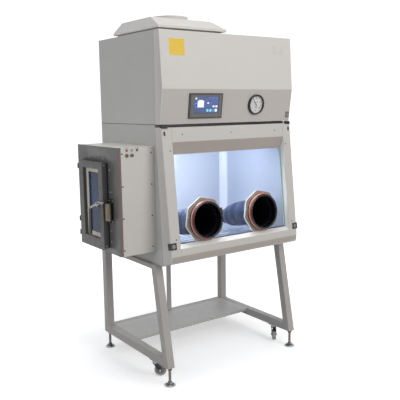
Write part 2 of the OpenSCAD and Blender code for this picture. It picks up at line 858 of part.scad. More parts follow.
// The door's lever: hub, tail over the strike, arm and hanging grip.
module door_handle() {
  bend = [grip_x, 264, 1062];
  low = [grip_x, 276, 905];
  hub = [grip_x + 3, handle_y, handle_z];
  place() color([0.72, 0.72, 0.73]) {
    translate([door_out - 0.5, handle_y, handle_z]) rotate([0, -90, 0]) cylinder(r = 14, h = 33);
    span([grip_x - 5, 106, handle_z + 12], [grip_x + 9, handle_y, handle_z + 22]);
    span([grip_x - 5, handle_y - 12, handle_z], [grip_x + 9, handle_y + 4, handle_z + 22]);
    hull() {
      translate(hub) sphere(handle_r, $fn = 24);
      translate(bend) sphere(handle_r, $fn = 24);
    }
    hull() {
      translate(bend) sphere(handle_r, $fn = 24);
      translate(low) sphere(handle_r + 1, $fn = 24);
    }
  }
}

module latch_strike() {
  place() {
    color([0.08, 0.08, 0.09]) span([lock_x - 4, 94, 982], [lock_x, 148, 1124]);
    color([0.7, 0.68, 0.66]) translate([lock_x - 22, 118, 1000]) cylinder(r = 18.5, h = 100);
  }
}

module inner_door() {
  place() color([0.72, 0.73, 0.75]) {
    span([-half + 9, door_y0 + 2, door_z0], [-half + 17, door_y1 - 2, door_z1]);
    span([-half + 17, 290, 850], [-liner_x + 18, 330, 864]);
  }
}

// A round push button that slides in the front panel's bore.
module push_button(x) {
  place() color([0.5, 0.36, 0.2]) translate([x, lock_front, button_z]) rotate([90, 0, 0]) {
    translate([0, 0, -12]) cylinder(r = 7, h = 12);
    translate([0, 0, 3.4]) cylinder(r = 8.5, h = 3);
    cylinder(r = 7, h = 4);
  }
}

module button_left() { push_button(button_x[0]); }
module button_right() { push_button(button_x[1]); }

module indicators() {
  place() color([0.85, 0.2, 0.25]) for (x = lamp_x) {
    translate([x, lock_front, lamp_z]) rotate([90, 0, 0]) cylinder(r = 5, h = 3);
  }
}

// Button-head screws on the airlock's front panel and end plate.
module panel_screws() {
  place() color([0.2, 0.2, 0.2]) {
    for (x = [lock_x + 15, -half - 23], i = [0:3]) {
      translate([x, lock_front, lock_top - 33 - i * 183]) rotate([90, 0, 0]) cylinder(r = 4.5, h = 2.5);
    }
    for (z = [1288, 1162, 936, 872]) {
      translate([lock_x, 132, z]) rotate([0, -90, 0]) cylinder(r = 4.5, h = 2.5);
    }
    for (y = [207, 381]) {
      translate([lock_x, y, door_z1 + 17]) rotate([0, -90, 0]) cylinder(r = 4.5, h = 2.5);
    }
  }
}

legs();
stand_rails();
rear_post();
shelf();
foot_front_left();
foot_front_right();
foot_rear_left();
foot_rear_right();
caster_plates();
caster_fork_left();
caster_fork_right();
caster_wheel_left();
caster_wheel_right();
housing_side_panels();
back_panel();
housing_top_panel();
hepa_filters();
fan_case();
fan_impeller();
exhaust_hood();
duct_collar();
front_cover();
touch_panel();
touch_screen();
gauge_case();
gauge_glass();
gauge_needle();
cover_lock();
chamber_left_wall();
chamber_right_wall();
chamber_back_wall();
chamber_ceiling();
worktop();
lamp();
window_frame();
window_glass();
port_flanges();
port_cuffs();
o_rings();
glove_left();
glove_right();
port_latch_left();
port_latch_right();
window_fittings();
latch_core_left();
latch_core_right();
airlock_shell();
airlock_front_panel();
airlock_end_plate();
outer_door();
outer_door_glass();
outer_door_gasket();
door_hinges();
door_handle();
latch_strike();
inner_door();
button_left();
button_right();
indicators();
panel_screws();
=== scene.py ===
import json
from math import atan, cos, pi, radians, sin

import bmesh
import bpy
from mathutils import Matrix, Vector, noise

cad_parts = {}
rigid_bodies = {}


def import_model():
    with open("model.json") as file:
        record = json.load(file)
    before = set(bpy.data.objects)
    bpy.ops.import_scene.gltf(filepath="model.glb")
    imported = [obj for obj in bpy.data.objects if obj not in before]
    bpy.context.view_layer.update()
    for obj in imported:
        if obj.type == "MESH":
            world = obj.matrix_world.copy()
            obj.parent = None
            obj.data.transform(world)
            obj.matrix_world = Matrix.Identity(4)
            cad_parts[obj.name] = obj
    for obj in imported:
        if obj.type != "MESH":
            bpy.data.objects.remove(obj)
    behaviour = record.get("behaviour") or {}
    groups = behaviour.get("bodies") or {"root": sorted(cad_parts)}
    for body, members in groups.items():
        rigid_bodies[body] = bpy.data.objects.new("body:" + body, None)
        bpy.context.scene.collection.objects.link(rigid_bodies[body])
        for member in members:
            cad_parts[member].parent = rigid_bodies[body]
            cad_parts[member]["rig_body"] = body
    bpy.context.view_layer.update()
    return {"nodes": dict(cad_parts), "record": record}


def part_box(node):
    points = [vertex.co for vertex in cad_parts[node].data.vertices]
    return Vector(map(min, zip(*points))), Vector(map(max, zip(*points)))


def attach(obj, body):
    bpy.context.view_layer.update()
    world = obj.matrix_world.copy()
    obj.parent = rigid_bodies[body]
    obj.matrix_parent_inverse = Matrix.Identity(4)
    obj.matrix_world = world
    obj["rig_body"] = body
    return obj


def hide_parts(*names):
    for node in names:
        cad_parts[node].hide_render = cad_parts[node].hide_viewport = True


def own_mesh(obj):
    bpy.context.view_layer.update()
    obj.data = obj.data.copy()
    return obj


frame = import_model()
scene = bpy.context.scene
scene.view_settings.view_transform = "Standard"

# ---------- the cabinet's own axes, in millimetres: x from its middle, y from the front seam ----------

_lo, _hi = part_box("back_panel")
MID_X = (_lo.x + _hi.x) / 2
SEAM_Y = _hi.y - 0.662


def at(x, y, z):
    return Vector((MID_X + x / 1000, SEAM_Y + y / 1000, z / 1000))


def axes(origin, right, up):
    """A matrix from a face's own axes (right, up, out, in mm) to the part's frame in metres."""
    right, up = Vector(right).normalized(), Vector(up).normalized()
    out = right.cross(up)
    m = Matrix.Identity(4)
    for i, v in enumerate((right, up, out)):
        for j in range(3):
            m[j][i] = v[j] / 1000
    for j in range(3):
        m[j][3] = origin[j]
    return m


TILT = radians(6.33)
LEAN = atan(28 / 202)
BODY = axes(at(0, 0, 0), (1, 0, 0), (0, 1, 0))
FRONT = axes(at(0, -58, 1524), (1, 0, 0), (0, sin(TILT), cos(TILT)))
FACET = axes(at(0, -49, 1540), (1, 0, 0), (0, -sin(LEAN), cos(LEAN)))
UPPER = axes(at(0, -77, 1742), (1, 0, 0), (0, 22, 321))
END = axes(at(-733, 0, 0), (0, -1, 0), (0, 0, 1))
LOCK_FRONT = axes(at(0, 20, 0), (1, 0, 0), (0, 0, 1))
BACK = axes(at(0, 662, 0), (-1, 0, 0), (0, 0, 1))

# ---------- camera ----------

cam_data = bpy.data.cameras.new("camera")
cam_data.lens = 54.36
cam_data.sensor_width = 36
cam_data.clip_end = 200
cam = bpy.data.objects.new("camera", cam_data)
scene.collection.objects.link(cam)
scene.camera = cam
az, pitch, roll = radians(36.1), radians(8.9), radians(-0.7)
forward = Vector((sin(az) * cos(pitch), cos(az) * cos(pitch), -sin(pitch)))
level = Vector((cos(az), -sin(az), 0))
above = level.cross(forward)
side_axis = level * cos(roll) + above * sin(roll)
up_axis = above * cos(roll) - level * sin(roll)
spot = at(-2333, -2933.7, 1645.6)
turned = Matrix((side_axis, up_axis, -forward)).transposed().to_4x4()
cam.matrix_world = Matrix.Translation(spot) @ turned

# ---------- materials ----------


def map_range(tree, value, source, target):
    """A Map Range node between two spans."""
    r = tree.nodes.new("ShaderNodeMapRange")
    for key, number in zip(("From Min", "From Max", "To Min", "To Max"), (*source, *target)):
        r.inputs[key].default_value = number
    tree.links.new(value, r.inputs["Value"])
    return r.outputs["Result"]


def material(name, color, rough=0.45, vary=0.05, cloud=5.0, grain=0.0, depth=0.0002, metal=0.0, stretch=(1, 1, 1),
             speck=0.0, coat=0.0, spec=0.5, alpha=1.0, glow=0.0, wear=0.0, rough_vary=0.08):
    """A procedural finish: cloudy tone, fine grain in the bump, uneven gloss and lighter worn edges."""
    m = bpy.data.materials.new(name)
    m.use_nodes = True
    nt = m.node_tree
    p = nt.nodes["Principled BSDF"]
    link = nt.links.new
    for key, value in (("Metallic", metal), ("Coat Weight", coat), ("Coat Roughness", 0.12),
                       ("Specular IOR Level", spec), ("Alpha", alpha)):
        p.inputs[key].default_value = value
    tc = nt.nodes.new("ShaderNodeTexCoord")
    mp = nt.nodes.new("ShaderNodeMapping")
    mp.inputs["Scale"].default_value = stretch
    link(tc.outputs["Object"], mp.inputs["Vector"])

    def noise_tex(scale, detail):
        n = nt.nodes.new("ShaderNodeTexNoise")
        n.inputs["Scale"].default_value = scale
        n.inputs["Detail"].default_value = detail
        link(mp.outputs["Vector"], n.inputs["Vector"])
        return n.outputs["Fac"]

    def spread(value, low, high):
        return map_range(nt, value, (0.3, 0.7), (low, high))

    def blend(fac, a, b):
        x = nt.nodes.new("ShaderNodeMix")
        x.data_type = "RGBA"
        link(fac, x.inputs["Factor"])
        for socket, value in ((x.inputs["A"], a), (x.inputs["B"], b)):
            if isinstance(value, tuple):
                socket.default_value = (*value, 1)
            else:
                link(value, socket)
        return x.outputs["Result"]

    dark = tuple(c * (1 - vary) for c in color)
    light = tuple(min(1, c * (1 + vary)) for c in color)
    tone = blend(spread(noise_tex(cloud, 4), 0, 1), dark, light)
    if speck:
        tone = blend(spread(noise_tex(grain or 600, 1), 0, speck), tone, tuple(c * 0.55 for c in color))
    if wear:
        geo = nt.nodes.new("ShaderNodeNewGeometry")
        edge = map_range(nt, geo.outputs["Pointiness"], (0.52, 0.62), (0, wear))
        tone = blend(edge, tone, tuple(min(1, c * 1.5 + 0.05) for c in color))
    link(tone, p.inputs["Base Color"])
    link(spread(noise_tex(cloud * 7, 3), max(0.02, rough - rough_vary), min(1, rough + rough_vary)),
         p.inputs["Roughness"])
    if grain:
        b = nt.nodes.new("ShaderNodeBump")
        b.inputs["Strength"].default_value = 0.6
        b.inputs["Distance"].default_value = depth
        link(noise_tex(grain, 2), b.inputs["Height"])
        link(b.outputs["Normal"], p.inputs["Normal"])
    if glow:
        p.inputs["Emission Strength"].default_value = glow
        link(tone, p.inputs["Emission Color"])
    if alpha < 1:
        m.surface_render_method = "BLENDED"
    return m


def coat_paint(name, color, rough=0.5, vary=0.025, cloud=2.2, speck=0.10, wear=0.0):
    return material(name, color, rough, vary=vary, cloud=cloud, grain=850, depth=18e-5, speck=speck, wear=wear)


def dark_coat(name, color, speck=0.15, wear=0.35):
    return material(name, color, 0.42, vary=0.08, cloud=4, grain=700, depth=15e-5, speck=speck, wear=wear)


PAINT = coat_paint("powder_coat", (0.575, 0.552, 0.525), wear=0.25)
# a darker copy of the powder coat for the housing's sides, the shelf, the chamber's side walls and the back panel:
# painted shade
SHADED_SIDE_PAINT = coat_paint("powder_coat_side_painted_shade", (0.47, 0.465, 0.445), vary=0.03, cloud=1.8, wear=0.25)
# a darker, warmer copy of the powder coat for the window frame's soffit, lower chamfer band and underside: painted
# shade
SHADED_PAINT = coat_paint("powder_coat_painted_shade", (0.42, 0.375, 0.335), vary=0.03)
# a darker copy of the powder coat for the facet that leans down towards the user: painted shade
SHADED_FACET_PAINT = coat_paint("powder_coat_facet_painted_shade", (0.52, 0.49, 0.455), speck=0.08)
# a lighter copy of the powder coat for the window's sill and both jambs: painted light
LIT_PAINT = coat_paint("powder_coat_painted_light", (0.80, 0.79, 0.775), 0.42, vary=0.02, speck=0.06)
STAND_PAINT = material("stand_coat", (0.40, 0.38, 0.365), 0.48, 0.05, 3, 800, 2e-4, speck=0.12, wear=0.3)
DARK_PAINT = dark_coat("dark_coat", (0.115, 0.11, 0.108))
DOOR_PAINT = dark_coat("dark_coat_door", (0.078, 0.075, 0.074), wear=0.4)
# a lighter brown copy of the dark paint for the end plate's front wrap: painted light
LIT_WRAP_PAINT = dark_coat("dark_coat_wrap_painted_light", (0.165, 0.125, 0.115), 0, 0)
STEEL = material("brushed_sheet", (0.56, 0.62, 0.73), 0.33, 0.05, 3, 260, 6e-5, metal=0.35, stretch=(1, 1, 0.04),
    rough_vary=0.05)
TABLE_STEEL = material("table_sheet", (0.50, 0.55, 0.65), 0.28, 0.04, 4, 1200, 1e-5, metal=0.55, stretch=(0.04, 1, 1),
    rough_vary=0.06)
# a paler copy of the chamber's steel for the rounded back corners: painted reflection
GLINT_COVE_STEEL = material("corner_strip_painted_reflection", (0.80, 0.84, 0.92), 0.35, 0.03, 6, 300, 5e-5, metal=0.1)
ZINC = material("zinc_plate", (0.50, 0.50, 0.51), 0.32, 0.08, 30, 500, 8e-5, metal=0.9)
CHROME = material("polished_metal", (0.27, 0.26, 0.25), 0.30, 0.05, 20, 900, 3e-5, metal=0.9, rough_vary=0.05)
BRONZE = material("bronze_grip", (0.072, 0.060, 0.054), 0.36, 0.15, 40, 500, 6e-5, metal=0.4, rough_vary=0.08)
BRASS = material("satin_brass", (0.23, 0.19, 0.145), 0.34, 0.10, 40, 600, 6e-5, metal=0.6)
BLACK = material("moulded_black", (0.012, 0.012, 0.014), 0.38, 0.2, 20, 1200, 1e-4)
GLOSS_BLACK = material("gloss_black", (0.005, 0.006, 0.009), 0.26, 0.2, 12, 900, 3e-5, coat=0.1)
BEZEL = material("bezel_plastic", (0.135, 0.13, 0.128), 0.42, 0.06, 14, 1400, 1e-4)
BEZEL_RIM = material("bezel_rim", (0.055, 0.054, 0.054), 0.4, 0.06, 14, 1400, 1e-4)
TAN = material("port_plate", (0.25, 0.205, 0.165), 0.36, 0.06, 10, 900, 8e-5, wear=0.6)
# pale trim for the lamp housing and the port plates' edges; also used as a painted highlight strip beside the glass
# and a painted reflection ring in the cuffs' second groove
PALE_TRIM_AND_GLINT = material("pale_trim_and_painted_glint", (0.80, 0.82, 0.80), 0.25, 0.04, 20, 700, 4e-5)
# orange rubber with a faint glow added: painted light
GLOWING_ORANGE = material("ring_rubber", (0.80, 0.075, 0.025), 0.38, 0.08, 30, 900, 6e-5, glow=0.12)
# the teal of the glass's edge, with a glow added: painted light
GLOWING_TEAL = material("glass_edge_painted_glow", (0.16, 0.42, 0.38), 0.12, 0.15, 8, 300, 3e-5, coat=0.6, glow=0.2)
CREAM = material("door_gasket", (0.70, 0.66, 0.54), 0.55, 0.05, 10, 900, 1e-4)
STEM = material("screw_stem", (0.20, 0.16, 0.125), 0.35, 0.12, 40, 700, 1e-4, metal=0.6)
# dark bluish metal for the top of the foot's chrome base: painted reflection
FOOT_DARK_REFLECTION = material("foot_base_painted_reflection", (0.15, 0.17, 0.20), 0.24, 0.12, 30, 600, 5e-5, metal=0.8)
HUB = material("wheel_hub", (0.20, 0.195, 0.20), 0.45, 0.1, 25, 800, 1e-4)
WHEEL = material("wheel_rubber", (0.40, 0.38, 0.37), 0.55, 0.12, 25, 800, 2e-4)
SLEEVE = material("glove_rubber", (0.007, 0.020, 0.082), 0.34, 0.25, 5, 420, 6e-5, coat=0.12, spec=0.35)
# near-black for the sleeves' inner side, seen down the port bores: painted shade
SLEEVE_SHADE = material("glove_inside_painted_shade", (0.002, 0.002, 0.003), 0.6, 0.2, 5, 420, 6e-5, spec=0.1)
LAMP = material("lamp_diffuser", (0.92, 0.96, 1.0), 0.4, 0.02, 3, 200, 1e-4, glow=4.0)
FILTER = material("filter_media", (0.80, 0.80, 0.76), 0.8, 0.05, 20, 60, 0.002, stretch=(8, 0.2, 1))
SCREEN = material("lit_screen", (0.050, 0.080, 0.220), 0.15, 0.25, 14, coat=0.3, glow=0.55, rough_vary=0.03)
SCREEN_LIGHT = material("screen_light", (0.75, 0.80, 0.88), 0.2, 0.03, glow=0.55)
SCREEN_TEAL = material("screen_teal", (0.18, 0.60, 0.62), 0.2, 0.03, glow=0.55)
SCREEN_BLUE = material("screen_blue", (0.10, 0.20, 0.55), 0.2, 0.03, glow=0.5)
SCREEN_YELLOW = material("screen_yellow", (0.85, 0.80, 0.15), 0.2, 0.03, glow=0.6)
DIAL = material("dial_face", (0.80, 0.80, 0.77), 0.5, 0.02, 20, 1500, 3e-5)
INK = material("dial_ink", (0.02, 0.02, 0.022), 0.5, 0.1, 30)
RED = material("signal_red", (0.62, 0.02, 0.03), 0.25, 0.08, 40, coat=0.4)
GREEN = material("signal_teal", (0.03, 0.30, 0.26), 0.25, 0.08, 40, coat=0.4)
YELLOW = material("plain_yellow", (0.80, 0.52, 0.01), 0.42, 0.03, 14, 900, 4e-5)
PLATE = material("blank_plate", (0.62, 0.61, 0.58), 0.42, 0.04, 18, 700, 4e-5)
GLASS = material("window_glass", (0.30, 0.36, 0.40), 0.04, 0.03, 2, coat=1.0, spec=1.0, alpha=0.06, rough_vary=0.02)
DOOR_GLASS = material("door_glass", (0.016, 0.045, 0.125), 0.16, 0.55, 5, spec=0.22, alpha=0.9, rough_vary=0.03,
    stretch=(1, 1, 0.5))

# ---------- mesh tools (lengths in mm, in the axes given by a matrix) ----------

bm = bmesh.new()   # the piece in hand: piece() finishes it and begins the next one


def turn_outward():
    """Turn every face of one open sheet so that it looks away from the sheet's middle."""
    bmesh.ops.recalc_face_normals(bm, faces=bm.faces)
    total = sum(f.calc_area() for f in bm.faces)
    middle = sum((f.calc_center_median() * f.calc_area() for f in bm.faces), Vector()) / total
    if sum(f.normal.dot(f.calc_center_median() - middle) * f.calc_area() for f in bm.faces) < 0:
        bmesh.ops.reverse_faces(bm, faces=bm.faces)


def piece(name, matrix, body, mats, slot, replaces=(), sharp=35, recalc=True, sheet=False):
    """Names the piece in hand, rides it on a body and hides the CAD nodes that it stands for."""
    global bm
    if matrix is not None:
        bm.transform(matrix)
    if sheet:
        turn_outward()
    elif recalc:
        bmesh.ops.recalc_face_normals(bm, faces=bm.faces)
    me = bpy.data.meshes.new(name)
    bm.to_mesh(me)
    bm.free()
    bm = bmesh.new()
    for m in (mats if isinstance(mats, (list, tuple)) else [mats]):
        me.materials.append(m)
    for poly in me.polygons:
        poly.use_smooth = True
    me.set_sharp_from_angle(angle=radians(sharp))
    ob = bpy.data.objects.new(name, me)
    scene.collection.objects.link(ob)
    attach(ob, body)
    if replaces:
        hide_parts(*replaces)
    mod = ob.modifiers.new("normals", "WEIGHTED_NORMAL")
    mod.keep_sharp = True
    return ob


def thicken(ob, thick):
    """Gives a sheet its thickness in mm, inwards from its faces."""
    mod = ob.modifiers.new("sheet", "SOLIDIFY")
    mod.thickness = thick / 1000
    mod.offset = -1
    return mod


def bridge(rings, bright=()):
    """Joins closed rings of vertices, one after another; the bright steps take the second material."""
    for i, (a, b) in enumerate(zip(rings, rings[1:])):
        for k in range(len(a)):
            j = (k + 1) % len(a)
            bm.faces.new((a[k], a[j], b[j], b[k])).material_index = int(i in bright)


CABINET, WINDOW, COVER = (BODY, "cabinet"), (FRONT, "window"), (FACET, "cover")


def tagged(before, mat):
    for f in bm.faces:
        if f not in before:
            f.material_index = mat


def ease(edges, radius, seg):
    bmesh.ops.bevel(bm, geom=edges, offset=radius, segments=seg, profile=0.5, affect="EDGES", clamp_overlap=True)


def block(lo, hi, r=0.0, seg=2, mat=0):
    """A box with eased edges."""
    before = set(bm.faces)
    vs = bmesh.ops.create_cube(bm, size=1)["verts"]
    for v in vs:
        v.co = Vector((lo[i] + (v.co[i] + 0.5) * (hi[i] - lo[i]) for i in range(3)))
    if r:
        edges = list(dict.fromkeys(e for v in vs for e in v.link_edges))
        ease(edges, r, seg)
    tagged(before, mat)


def pad(lo, hi, z0, z1, corner, top=0.4, mat=0):
    """A flat plate with round corners and a softened top edge."""
    before = set(bm.faces)
    rings = []
    for inset, z in ((0, z0), (0, z1 - top), (top * 0.3, z1 - top * 0.3), (top, z1)):
        ring = []
        for cx, cy, a0 in ((hi[0], hi[1], 0), (lo[0], hi[1], 90), (lo[0], lo[1], 180), (hi[0], lo[1], 270)):
            sx = corner if cx == lo[0] else -corner
            sy = corner if cy == lo[1] else -corner
            for k in range(7):
                a = radians(a0 + k * 15)
                ring.append(bm.verts.new((cx + sx + (corner - inset) * cos(a),
                                          cy + sy + (corner - inset) * sin(a), z)))
        rings.append(ring)
    bridge(rings)
    bm.faces.new(list(reversed(rings[0])))
    bm.faces.new(rings[-1])
    tagged(before, mat)


def lathe(prof, centre=(0, 0, 0), steps=48, mat=0, axis="Z"):
    """Turns a list of (radius, height) about an axis of the local frame."""
    before = set(bm.faces)
    rings = []
    for r, h in prof:
        ring = []
        for k in range(1 if r < 1e-6 else steps):
            a = 2 * pi * k / steps
            p = (r * cos(a), r * sin(a), h)
            if axis == "X":
                p = (p[2], p[0], p[1])
            elif axis == "Y":
                p = (p[1], p[2], p[0])
            ring.append(bm.verts.new(Vector(p) + Vector(centre)))
        rings.append(ring)
    for a, b in zip(rings, rings[1:]):
        if len(a) == 1 and len(b) == 1:
            continue
        for k in range(steps):
            j = (k + 1) % steps
            if len(a) == 1:
                bm.faces.new((a[0], b[j], b[k]))
            elif len(b) == 1:
                bm.faces.new((a[k], a[j], b[0]))
            else:
                bm.faces.new((a[k], a[j], b[j], b[k]))
    tagged(before, mat)


def sweep(pts, radii, sides=16, mat=0, squash=(1, 1)):
    """A round tube along a list of points, closed by flat caps."""
    before = set(bm.faces)
    pts = [Vector(p) for p in pts]
    tangent = (pts[1] - pts[0]).normalized()
    ref = Vector((0, 0, 1)) if abs(tangent.z) < 0.9 else Vector((1, 0, 0))
    normal = tangent.cross(ref).normalized()
    rings = []
    count = len(pts)
    for i, p in enumerate(pts):
        t = (pts[min(i + 1, count - 1)] - pts[max(i - 1, 0)]).normalized()
        normal = (normal - t * normal.dot(t)).normalized()
        binormal = t.cross(normal)
        r = radii[i] if isinstance(radii, (list, tuple)) else radii
        rings.append([bm.verts.new(p + normal * (r * squash[0] * cos(2 * pi * k / sides))
                                   + binormal * (r * squash[1] * sin(2 * pi * k / sides))) for k in range(sides)])
    bridge(rings)
    bm.faces.new(list(reversed(rings[0])))
    bm.faces.new(rings[-1])
    tagged(before, mat)


def curve_points(knots, per=8):
    """A smooth path through the given points."""
    k = [Vector(p) for p in knots]
    k = [k[0] * 2 - k[1]] + k + [k[-1] * 2 - k[-2]]
    out = []
    for i in range(1, len(k) - 2):
        for j in range(per):
            t = j / per
            a, b, c, d = k[i - 1], k[i], k[i + 1], k[i + 2]
            out.append(0.5 * ((2 * b) + (c - a) * t + (2 * a - 5 * b + 4 * c - d) * t * t
                              + (3 * b - a - 3 * c + d) * t ** 3))
    out.append(k[-2])
    return out


def dome_tube(path, r, sides=20, mat=0):
    """A rounded-end rod along a path."""
    path = [Vector(p) for p in path]
    first = (path[0] - path[1]).normalized()
    last = (path[-1] - path[-2]).normalized()
    start = [path[0] + first * r * f for f in (1, 0.9, 0.65, 0.35)]
    end = [path[-1] + last * r * f for f in (0.35, 0.65, 0.9, 1)]
    ends = [0.08, 0.45, 0.77, 0.94]
    pts = start + path + end
    radii = [r * e for e in ends] + [r] * len(path) + [r * e for e in reversed(ends)]
    sweep(pts, radii, sides, mat)


def screw(x, y, r=4.5, h=2.2, mat=0, z=0.0):
    """A button-head screw with a hexagonal socket."""
    s = r * 0.45
    lathe([(r, z), (r, z + h * 0.35), (r * 0.88, z + h * 0.75), (r * 0.6, z + h), (s, z + h)], (x, y, 0), 20, mat)
    lathe([(s, z + h), (s, z + h * 0.3), (0, z + h * 0.25)], (x, y, 0), 6, mat)


def node_body(node):
    return frame["nodes"][node]["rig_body"]


def refined(node, mats, slot, width=1.5, seg=2, min_len=10, pick=None):
    """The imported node's own shape with its long edges eased, in place of the node."""
    bm.from_mesh(frame["nodes"][node].data)
    bmesh.ops.remove_doubles(bm, verts=bm.verts, dist=2e-5)
    bmesh.ops.dissolve_limit(bm, angle_limit=radians(0.8), verts=bm.verts, edges=bm.edges)
    if width:
        edges = [e for e in bm.edges if len(e.link_faces) == 2 and e.calc_face_angle(0) > 0.6
                 and e.calc_length() > min_len / 1000]
        ease(edges, width / 1000, seg)
    if pick:
        for f in bm.faces:
            c = f.calc_center_median()
            f.material_index = pick(((c.x - MID_X) * 1000, (c.y - SEAM_Y) * 1000, c.z * 1000))
    return piece(node + "_form", None, node_body(node), mats, slot, (node,))


def keep(node, mat):
    """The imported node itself, with a better finish."""
    ob = frame["nodes"][node]
    ob.data.materials.clear()
    ob.data.materials.append(mat)


def folded(name, matrix, body, mat, slot, thick, bends, replaces=()):
    """A sheet bent from a bare surface: bends is a list of (test, radius, segments)."""
    bmesh.ops.remove_doubles(bm, verts=bm.verts, dist=0.01)
    for test, radius, seg in bends:
        edges = [e for e in bm.edges if len(e.link_faces) == 2 and e.calc_face_angle(0) > 0.05
                 and test(*[e.verts[i].co for i in (0, 1)])]
        if edges:
            ease(edges, radius, seg)
    ob = piece(name, matrix, body, mat, slot, replaces, sheet=True)
    thicken(ob, thick).use_even_offset = True
    ob.modifiers.move(1, 0)
    return ob


def quad(points, mat=0):
    bm.faces.new([bm.verts.new(p) for p in points]).material_index = mat


def corners(lo, hi):
    """The eight corners of a box, the lower face first."""
    ring = ((lo[0], lo[1]), (hi[0], lo[1]), (hi[0], hi[1]), (lo[0], hi[1]))
    return [(x, y, z) for z in (lo[2], hi[2]) for x, y in ring]


def surface(points, faces):
    """Bare faces over a list of points."""
    vs = [bm.verts.new(p) for p in points]
    for f in faces:
        bm.faces.new([vs[i] for i in f])


# ---------- stand ----------

refined("legs", STAND_PAINT, "stand_paint", 4.0, 3, 30)
refined("stand_rails", STAND_PAINT, "stand_paint", 3.5, 3, 30)
refined("rear_post", STAND_PAINT, "stand_paint", 2.0, 2, 15)
refined("shelf", SHADED_SIDE_PAINT, "cabinet_paint", 0.9, 2, 20)

# a thick sleeve round each foot's screw
for end in ("front", "rear"):
    for side in ("left", "right"):
        lo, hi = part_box(f"foot_{end}_{side}")
        mid = (lo + hi) / 2
        lathe([(5.4, 30), (6.6, 33), (8.2, 42), (8.4, 74), (7.0, 80), (5.4, 82)], (0, 0, 0), 28)
        piece(f"stem_sleeve_{end}_{side}", axes((mid.x, mid.y, 0), (1, 0, 0), (0, 1, 0)),
                  f"foot_{end}_{side}", STEM, "zinc")


def foot_finish(c):
    """A bright zinc rim and a dark top on the chrome base, as painted highlight and painted reflection, then
    brass-brown screw and black nut, from the floor up.
    """
    return 1 if c[2] > 94 else 0 if c[2] < 10 else 3 if c[2] < 27 else 2


ROLL_AXIS = {j["name"]: Vector(j["axis"]) for j in frame["record"]["behaviour"]["joints"]
             if j["name"].startswith("caster_roll")}
CASTER_X, CASTER_Y = 493, 74
FORK_PIVOT = {"left": (-CASTER_X, CASTER_Y), "right": (CASTER_X, CASTER_Y)}


def fork_finish(side):
    """Black cheeks on a bright swivel head."""
    axle = ROLL_AXIS[f"caster_roll_{side}"]
    px, py = FORK_PIVOT[side]

    def pick(c):
        off = abs((c[0] - px) * axle.x + (c[1] - py) * axle.y)
        return 1 if 12 < off < 17 and c[2] < 92 else 0
    return pick


for side in ("left", "right"):
    for end in ("front", "rear"):
        refined(f"foot_{end}_{side}", [ZINC, BLACK, STEM, FOOT_DARK_REFLECTION], "zinc", 0.8, 2, 10, pick=foot_finish)
    refined(f"caster_fork_{side}", [CHROME, BLACK], "zinc", 0.5, 2, 6, pick=fork_finish(side))
refined("caster_plates", ZINC, "zinc", 0.7, 2, 10)

for side in ("left", "right"):
    lo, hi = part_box(f"caster_wheel_{side}")
    mid = (lo + hi) / 2
    axle = ROLL_AXIS[f"caster_roll_{side}"]
    wheel_axes = axes(mid, tuple(axle), (-axle.y, axle.x, 0))
    r = (hi.z - lo.z) / 2 * 1000
    tread = [(r - 11, -9.5), (r - 8, -11), (r - 3, -12), (r - 1, -10), (r, -5), (r, -2)]
    tread += [(r - 0.7, 0)] + [(rr, -h) for rr, h in reversed(tread)]
    lathe(tread, steps=56, mat=0, axis="X")
    hub = [(4.2, -12.4), (12, -12.4), (14, -11), (15, -7), (r - 12, -6.5), (r - 10.8, -9)]
    hub += [(rr, -h) for rr, h in reversed(hub)]
    lathe(hub, steps=56, mat=1, axis="X")
    for k in range(8):
        a = k * pi / 4
        for sgn in (-1, 1):
            lathe([(0, sgn * 7.2), (1.6, sgn * 7.2), (1.6, sgn * 6.2)], (0, 20 * cos(a), 20 * sin(a)), 12, 2, "X")
    piece(f"wheel_{side}", wheel_axes, f"caster_wheel_{side}", [WHEEL, HUB, ZINC],
              "wheel_rubber", (f"caster_wheel_{side}",))
    for s in (-1, 1):
        lathe([(0, s * 21.5), (4.5, s * 21.5), (6.4, s * 20.3), (6.6, s * 17)], axis="X", steps=6)
        lathe([(8.5, s * 17.2), (8.5, s * 16.6)], (0, 0, 0), 24, 0, "X")
    piece(f"axle_nuts_{side}", wheel_axes, f"caster_fork_{side}", ZINC, "zinc")
    # the brake tab over the wheel
    sweep(curve_points([(0, 16, 44), (0, -2, 50), (0, -22, 44), (0, -33, 34)], 5), 9, 12, squash=(1.1, 0.2))
    piece(f"brake_tab_{side}", wheel_axes, f"caster_fork_{side}", BLACK, "zinc")

for sx in (-1, 1):
    for px in (-17, 17):
        for py in (-24, 24):
            lathe([(0, 101.2), (3.6, 101.2), (4.2, 102.2), (4.2, 106)], (sx * CASTER_X + px, CASTER_Y + py, 0), 6)
piece("caster_bolts", *CABINET, ZINC, "zinc")

# plastic plugs and weld beads at the tube ends
for sx in (-1, 1):
    for z0 in (137, 702):
        pad((sx * 493 - 20, z0 - 12), (sx * 493 + 20, z0 + 12), 0, 1.2, 4, 0.6)
piece("tube_plugs", axes(at(0, 692, 0), (1, 0, 0), (0, 0, 1)) @ Matrix.Diagonal((1, 1, -1, 1)), "cabinet",
          [BEZEL], "stand_paint")
for sx in (-1, 1):
    for z, y in ((160, -42), (690, 56)):
        pts = [(sx * 468.5, y - 3, z), (sx * 480, y - 1, z + 0.5), (sx * 493, y - 1, z), (sx * 506, y - 1, z + 0.5),
               (sx * 517.5, y - 3, z)]
        sweep(curve_points(pts, 6), [1.6 + 0.4 * sin(i * 1.7) for i in range(25)], 8)
    for z in (160, 690):
        pts = [(sx * 468.5, 641, z), (sx * 480, 641.6, z), (sx * 506, 641.6, z), (sx * 517.5, 641, z)]
        sweep(curve_points(pts, 8), [1.6 + 0.4 * sin(i * 1.9) for i in range(25)], 8)
